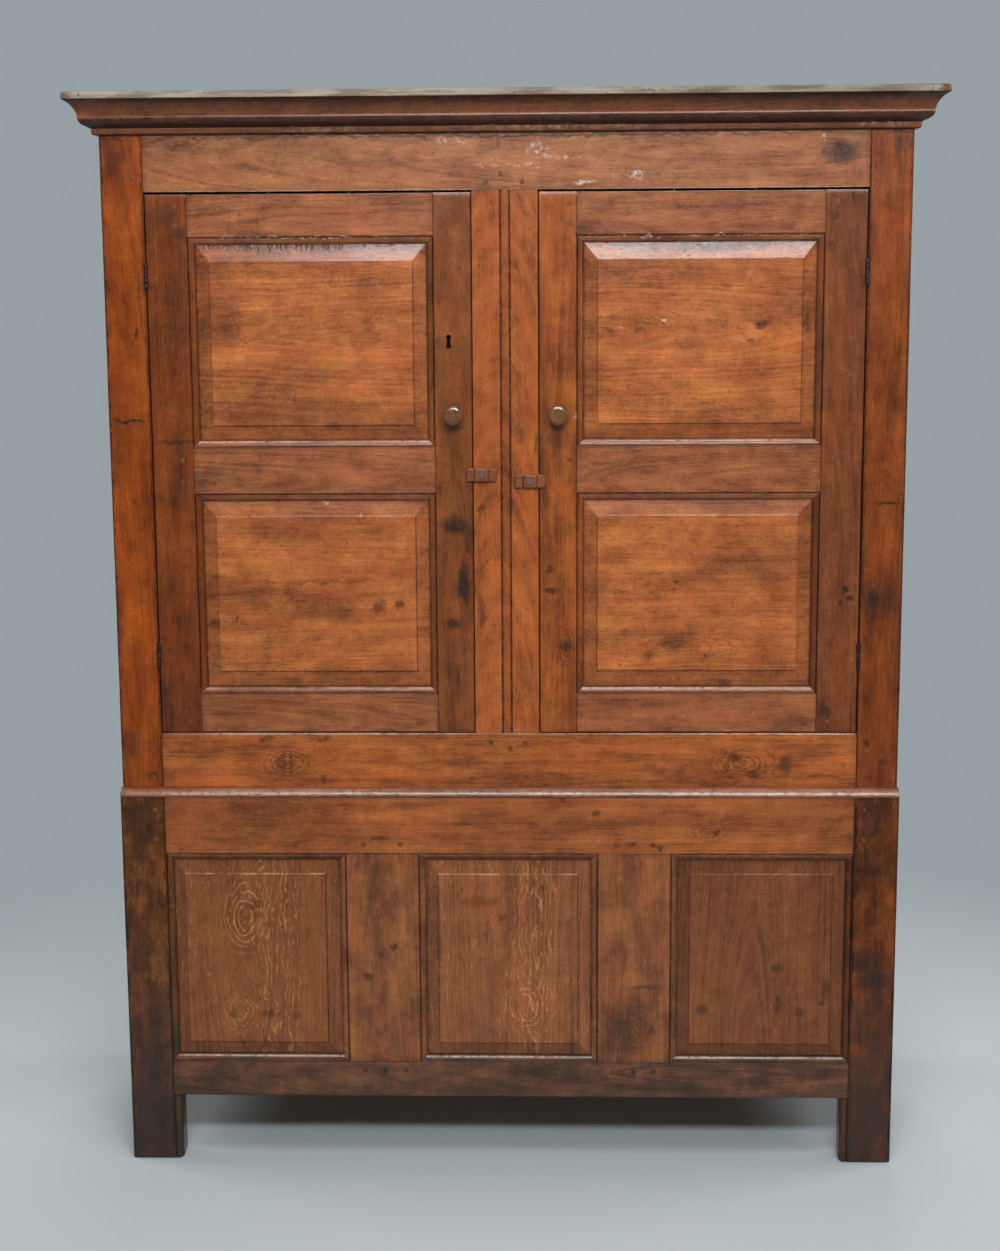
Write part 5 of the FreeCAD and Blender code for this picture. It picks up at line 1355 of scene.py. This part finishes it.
# %% Base frame
base_thick = base_back_y - base_face_y
bay_z = (limits("base_bottom_rail")[1][2] - MOULDING, limits("base_top_rail")[0][2] + MOULDING)
muntins = boards_of("base_muntins")
muntin_lines = (muntins[1][0][0] + MOULDING, muntins[1][1][0] - MOULDING)
base_bays = {"left": Bay(-leg_x, -muntin_lines[1], *bay_z),
             "centre": Bay(-muntin_lines[0], muntin_lines[0], *bay_z),
             "right": Bay(muntin_lines[1], leg_x, *bay_z)}
for side, sign, seed in (("left", -1, 170), ("right", 1, 180)):
    node = "base_leg_" + side
    strip = sorted((sign * (leg_x - MOULDING), sign * leg_x))
    low, high = limits(node)
    face = sorted((sign * leg_x, sign * half_base))
    skins = [board((face[0], low[1], 0), (face[1], high[1], base_top_z), "zxy", seed,
                   arris=0.0022, chip=0.006, ends=(0.006, 0.0004), step=0.009),
             board((strip[0], base_back_y, 0), (strip[1], high[1], base_top_z), "zxy", seed + 1,
                   ends=(0.004, 0.0004)),
             moulded_edge(base_bays[side], side, base_face_y, base_thick, seed + 2, BASE_PAINTED_LIGHT)]
    section, dirt = moulding_outline(base_thick)[:2]
    foot = carried(section, AXIS["z"], -sign * AXIS["x"], AXIS["y"], 0.003, foot_z, seed=seed + 3,
                   dirt=dirt)
    skins.append(shifted(foot, sign * leg_x * AXIS["x"], base_face_y * AXIS["y"]))
    dress(node, skins, "leg_" + side)

for node, z, edge, finish, seed in (
        ("base_top_rail", (bay_z[1], base_top_z), "top", "base_rail_top", 190),
        ("base_bottom_rail", (foot_z, bay_z[0]), "bottom", "base_rail_low", 195)):
    # The top rail's upper front arris is worn pale and painted with the highlight that it catches.
    rail = within(node, "xzy", seed, x=(-leg_x, leg_x), z=z, step=0.010,
                  wave=0.0008 if edge == "bottom" else 0.0003, chip=0.002,
                  rubbed=() if edge == "bottom" else (3,))
    runs = [moulded_edge(bay, edge, base_face_y, base_thick, seed + 1 + k, BASE_PAINTED_LIGHT)
            for k, bay in enumerate(base_bays.values())]
    dress(node, [rail] + runs, finish)

skins = []
for sign, seed, (outer_side, inner_side) in ((-1, 200, ("right", "left")),
                                             (1, 205, ("left", "right"))):
    x = sorted(sign * line for line in muntin_lines)
    skins.append(within("base_muntins", "zxy", seed, x=x, z=bay_z, step=0.010))
    skins.append(moulded_edge(base_bays["left" if sign < 0 else "right"], outer_side,
                              base_face_y, base_thick, seed + 1, BASE_PAINTED_LIGHT))
    skins.append(moulded_edge(base_bays["centre"], inner_side, base_face_y, base_thick, seed + 2,
                              BASE_PAINTED_LIGHT))
dress("base_muntins", skins, "base_muntin")
print("base bays:", {name: np.round(bay, 4).tolist() for name, bay in base_bays.items()})

# %% Base panels
BASE_BEVELS = (0.024, 0.024)
# Each row: the leans, the painted shade on the bevels, and the painted shade on the steps, which below
# zero is a painted highlight along the step.
BASE_PANELS = {"left": ((0, .001, .0035, .003, -.003, -.004, .002, .003),
                        (.42, .12, .36, .10), (1.0, -.8, .6, 1.0)),
               "centre": ((0, 0, .003, .0035, -.002, -.001, 0, .001),
                          (.42, .14, .34, .16), (1.0, -.6, .7, .9)),
               "right": ((.001, 0, .0035, .001, -.001, -.002, 0, .001),
                         (.42, .16, .30, .20), (1.0, -.4, .7, .9))}
for k, (name, (leans, bevel_shades, steps)) in enumerate(BASE_PANELS.items()):
    low, high = limits("base_panel_" + name)
    skins = [panel(low, high, "zxy", -1, BASE_BEVELS, 210 + k, leans, bevel_shades, steps)]
    dress("base_panel_" + name, skins, "base_panel_" + name, PANEL_SHARP)
print("base panels:", ", ".join(BASE_PANELS))

# %% [markdown]
# ## The waist
# A nosing lies along the joint of the two stages: a rounded nose over a narrow flat, and a top
# that slopes back to the upper stage, rubbed pale along the nose and painted with a highlight
# there. Each point of its outline has a third value: dirt and painted shade underneath and at
# the back, rubbed wax and a painted highlight on the nose and the slope. Its ends are rubbed
# round.

# %% Nosing
low, high = limits("waist_moulding")
NOSING = [(0, 0, 1.0), (.0121, 0, 1.0), (.0121, -.0048, 1.0), (.0138, -.0046, .8),
          (.0152, -.0037, .4), (.0159, -.0020, .1), (.0160, -.0004, -.2), (.0158, .0007, -.4),
          (.0153, .0024, -.6), (.0147, .0041, -.5), (.0136, .0055, -.4), (.0118, .0066, -.35),
          (.0085, .0080, -.3), (.0050, .0095, -.2), (.0024, .0107, .1), (.0014, .0112, .4),
          (.0006, .0118, .8), (0, .0124, 1.0)]
nosing_shape = np.array(NOSING)
nosing = carried(nosing_shape[:, :2], AXIS["x"], -AXIS["y"], AXIS["z"], low[0], high[0],
                 seed=220, step=0.012, dirt=nosing_shape[:, 2], wave=0.0005, ease=0.004)
dress("waist_moulding", [shifted(nosing, (0, high[1], low[2]))], "nosing")
print("nosing:", len(nosing_shape), "points, standing out", nosing_shape[:, 0].max())

# %% [markdown]
# ## Knobs and turn buttons
# The knobs are turned. A turn button is a small stepped block, whittled rather than planed: its
# outline is carried upwards and drawn in at both ends. Long flats in the outline have extra
# points near their ends. Without them the shading of a rounding would spread over the whole
# flat, and a button turned upright would glare.

# %% Knobs and turn buttons
KNOB_PROFILE = [(.0105, -.004), (.0115, -.0004), (.0114, .0006), (.0102, .0022), (.0088, .0050),
                (.0084, .0080), (.0088, .0100), (.0105, .0118), (.0135, .0134), (.0160, .0150),
                (.0172, .0161), (.0178, .0172), (.0180, .0185), (.0180, .0205), (.0180, .0222),
                (.0179, .0236), (.0175, .0248), (.0169, .0257), (.0161, .0265), (.0152, .0270),
                (.0143, .0273), (.0135, .0275), (.0127, .0277), (.0122, .0279), (.0114, .0280),
                (.0080, .0280), (.0040, .0280), (.0012, .0280)]
for side, seed in (("left", 230), ("right", 231)):
    low, high = limits(side + "_knob")
    centre = ((low[0] + high[0]) / 2, face_y, (low[2] + high[2]) / 2)
    dress(side + "_knob", [turned(KNOB_PROFILE, centre, seed)], "turned")

BUTTON = [(.0270, 0), (.0270, .0056), (.0264, .0068), (.0252, .0077), (.0240, .0080),
          (.0234, .0080), (.0186, .0080), (.0138, .0080), (.0132, .0080), (.0124, .0084),
          (.0120, .0092), (.0119, .0108), (.0114, .0121), (.0102, .0129), (.0090, .0130),
          (.0084, .0130), (.0042, .0130)]
button_outline = np.array(BUTTON + [(-x, y) for x, y in BUTTON[::-1]])
BUTTON_CORNER = 0.0126   # where an arm meets the thick middle, whose groove is painted with shade
from_corner = np.abs(np.abs(button_outline[:, 0]) - BUTTON_CORNER)
button_groove_shade = np.where((from_corner < 0.0009) & (button_outline[:, 1] < 0.0095), 0.8, 0.0)
for side, seed in (("left", 240), ("right", 241)):
    low, high = limits(side + "_turn_button")
    block = carried(button_outline, AXIS["z"], AXIS["x"], -AXIS["y"], low[2], high[2], seed=seed,
                    step=0.004, dirt=button_groove_shade, ease=0.0018, wave=0.0003)
    block = shifted(block, ((low[0] + high[0]) / 2, high[1], 0))
    dress(side + "_turn_button", [block], "button")
print("knobs and turn buttons:", len(KNOB_PROFILE), "and", len(button_outline), "points round")

# %% [markdown]
# ## Parts that keep their solids
# Shelves, bearers, floor boards, iron and pegs are seen only close to or with a door open. A
# Weld joins the imported triangles and a Bevel takes their edges off. Both are modifiers, so
# the solids' own meshes stay as they are.

# %% Finishes on the kept solids
inside = oak("oak_inside_x", colour(150, 112, 78), "xyz", gloss=0.6, lot=3.0)
inside_y = oak("oak_inside_y", colour(146, 108, 76), "yxz", gloss=0.6, lot=5.0)
# The pegs are painted darker towards the floor.
peg_wood = oak("oak_pegs", colour(112, 64, 38), "yxz", gloss=0.5, lot=7.0, darker_below=(.30, .80, .78),
               sheen=0.22)
KEPT = {"bearers": (inside_y, 0.0010), "well_cover": (inside_y, 0.0012),
        "door_stops": (inside, 0.0010), "shelf_lower": (inside, 0.0012),
        "shelf_upper": (inside, 0.0012), "floor_boards": (inside, 0.0012),
        "base_boards": (inside_y, 0.0012), "hinge_leaves_frame": (iron, 0.0003),
        "hinge_leaves_left_door": (iron, 0.0003), "hinge_leaves_right_door": (iron, 0.0003),
        "hinge_pins": (iron, 0.0004), "turn_button_screws": (steel, 0.0002),
        "lock_case": (iron, 0.0004), "lock_bolt": (iron, 0.0005),
        "frame_pegs": (peg_wood, 0.0006), "left_door_pegs": (peg_wood, 0.0006),
        "right_door_pegs": (peg_wood, 0.0006)}
for node, (material, width) in KEPT.items():
    piece = NODES[node]
    piece.data.materials.clear()
    piece.data.materials.append(material)
    weld = piece.modifiers.new("joined", "WELD")
    weld.merge_threshold = 0.00001
    bevel = piece.modifiers.new("eased", "BEVEL")
    bevel.width = width
    bevel.segments = 2
    bevel.limit_method = "ANGLE"
    bevel.angle_limit = np.radians(40)
worn = sum(name.startswith("worn_") for name in bpy.data.objects.keys())
print(len(KEPT), "kept solids and", worn, "worn pieces for", len(NODES), "nodes")

# %% [markdown]
# ## Floor, light and camera
# A plain pale floor runs into a background of its own colour, with no line between them: far
# from the press, what the camera or a shine sees of the floor is that colour. The key lamp
# stands high in front, a little to the right, and gives waxed oak its pale sheen on every face
# that tilts upwards. A second lamp hangs over the floor in front. One behind and one at each
# side light the faces that turn away from these, and two weak fills keep the shadows open.

# %% Floor and world
BACKGROUND = colour(150, 160, 164)
FLOOR_NEAR, FLOOR_FAR = 0.85, 2.20   # from here to there the floor turns into the background
FLOOR_HALF = 30.0


def floor_material():
    """Pale matt paint near the press, and a glow of the background's colour far from it."""
    paint = Paint("floor")
    objects = paint.node("TexCoord", {}, {}, "Object")
    paint.finish(Base_Color=colour(186, 194, 196), Roughness=0.8)
    ray = paint.node("LightPath", {}, {}, "Is Camera Ray")
    glossy = paint.node("LightPath", {}, {}, "Is Glossy Ray")
    seen = (ray + glossy).math("MINIMUM", 1.0)
    far = paint.step(paint.vector("LENGTH", objects, out=1), FLOOR_NEAR, FLOOR_FAR) * seen
    glow = paint.node("Emission", {}, {"Color": BACKGROUND, "Strength": 1.0})
    shader = Value(paint, paint.shader.outputs[0])
    paint.put(paint.surface, paint.node("MixShader", {}, {0: far, 1: shader, 2: glow}))
    return paint.owner


def studio_world():
    """Weak white light from all round, seen as the plain background."""
    paint = Paint("studio", bpy.data.worlds)
    paint.finish(Color=(1.0, 1.0, 1.0, 1.0), Strength=0.08)
    plain = paint.node("Background", {}, {"Color": BACKGROUND})
    ray = paint.node("LightPath", {}, {}, "Is Camera Ray")
    seen = ray.math("MAXIMUM", ray.other("Is Glossy Ray"))
    seen = seen.math("MAXIMUM", ray.other("Is Transmission Ray"))
    light = Value(paint, paint.shader.outputs[0])
    paint.put(paint.surface, paint.node("MixShader", {}, {0: seen, 1: light, 2: plain}))
    return paint.owner


corners = FLOOR_HALF * np.array([(-1, -1, 0), (1, -1, 0), (1, 1, 0), (-1, 1, 0)])
mesh = bpy.data.meshes.new("floor")
mesh.from_pydata(corners, [], [(0, 1, 2, 3)])
mesh.materials.append(floor_material())
stand("floor", mesh)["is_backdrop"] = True
bpy.context.scene.world = studio_world()
print("the floor turns into the background from", FLOOR_NEAR, "to", FLOOR_FAR)

# %% Lamps and camera


def lamp(name, place, target, size, power, tone=(1.0, 1.0, 1.0)):
    """A soft rectangular lamp that points from its place at a target, unseen by the camera."""
    light = bpy.data.lights.new(name, "AREA")
    light.shape = "RECTANGLE"
    light.size, light.size_y = size
    light.energy = power
    light.color = tone
    holder = stand(name, light)
    towards = np.array(target, float) - place
    towards /= np.linalg.norm(towards)
    level = np.cross(towards, AXIS["z"])
    level /= np.linalg.norm(level)
    turn = Matrix(np.stack([level, np.cross(level, towards), -towards], 1).tolist()).to_4x4()
    holder.matrix_world = Matrix.Translation(place) @ turn
    holder.visible_camera = False


lamp("key", (0.35, -3.95, 3.15), (0.05, -0.25, 1.2), (2.5, 0.50), 134.0,
     (0.95, 1.0, 1.05))
lamp("overhead", (0.3, -2.0, 4.4), (0.0, -0.2, 1.0), (2.4, 1.2), 55.0)
lamp("rear", (0.3, 4.2, 3.0), (0.0, 0.2, 0.9), (2.4, 1.4), 80.0)
lamp("left_side", (-3.6, 0.7, 2.4), (-0.7, 0.1, 1.0), (1.6, 1.6), 45.0)
lamp("right_side", (3.6, 0.7, 2.4), (0.7, 0.1, 1.0), (1.6, 1.6), 45.0)
lamp("fill", (-3.4, -2.2, 1.6), (0.0, 0.0, 1.0), (1.4, 1.8), 5.0)
lamp("side_fill", (3.6, -2.4, 2.2), (0.2, 0.0, 1.1), (1.4, 1.8), 20.0)

FILM_WIDTH = 36.0
FOCAL_PIXELS, FRAME_PIXELS = 2000, 1251     # focal length, and the longer side of the frame
CAMERA_PLACE = (0.0937, -3.8116, 1.6205)
yaw, pitch, roll = -0.0297, 0.1653, -0.0062
lens = bpy.data.cameras.new("camera")
lens.sensor_width = FILM_WIDTH
lens.lens = FILM_WIDTH * FOCAL_PIXELS / FRAME_PIXELS
camera = stand("camera", lens)
camera.matrix_world = (Matrix.Translation(CAMERA_PLACE)
                       @ Matrix.Rotation(-yaw, 4, "Z") @ Matrix.Rotation(np.pi / 2 - pitch, 4, "X")
                       @ Matrix.Rotation(roll, 4, "Z"))
bpy.context.scene.camera = camera
bpy.context.scene.view_settings.view_transform = "Standard"
print("lamps:", len(bpy.data.lights), "and a lens of", round(lens.lens, 2), "mm")

# %% [markdown]
# ## Sizes
# The dressed press has to stay inside the box of its construction, so both boxes are written
# down and can be compared after each run.

# %% Sizes
new_box = [list(corner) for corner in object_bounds()]
for title, (low, high) in (("CAD", cad_box), ("dressed", new_box)):
    print("size,", title, np.round(np.subtract(high, low), 4))
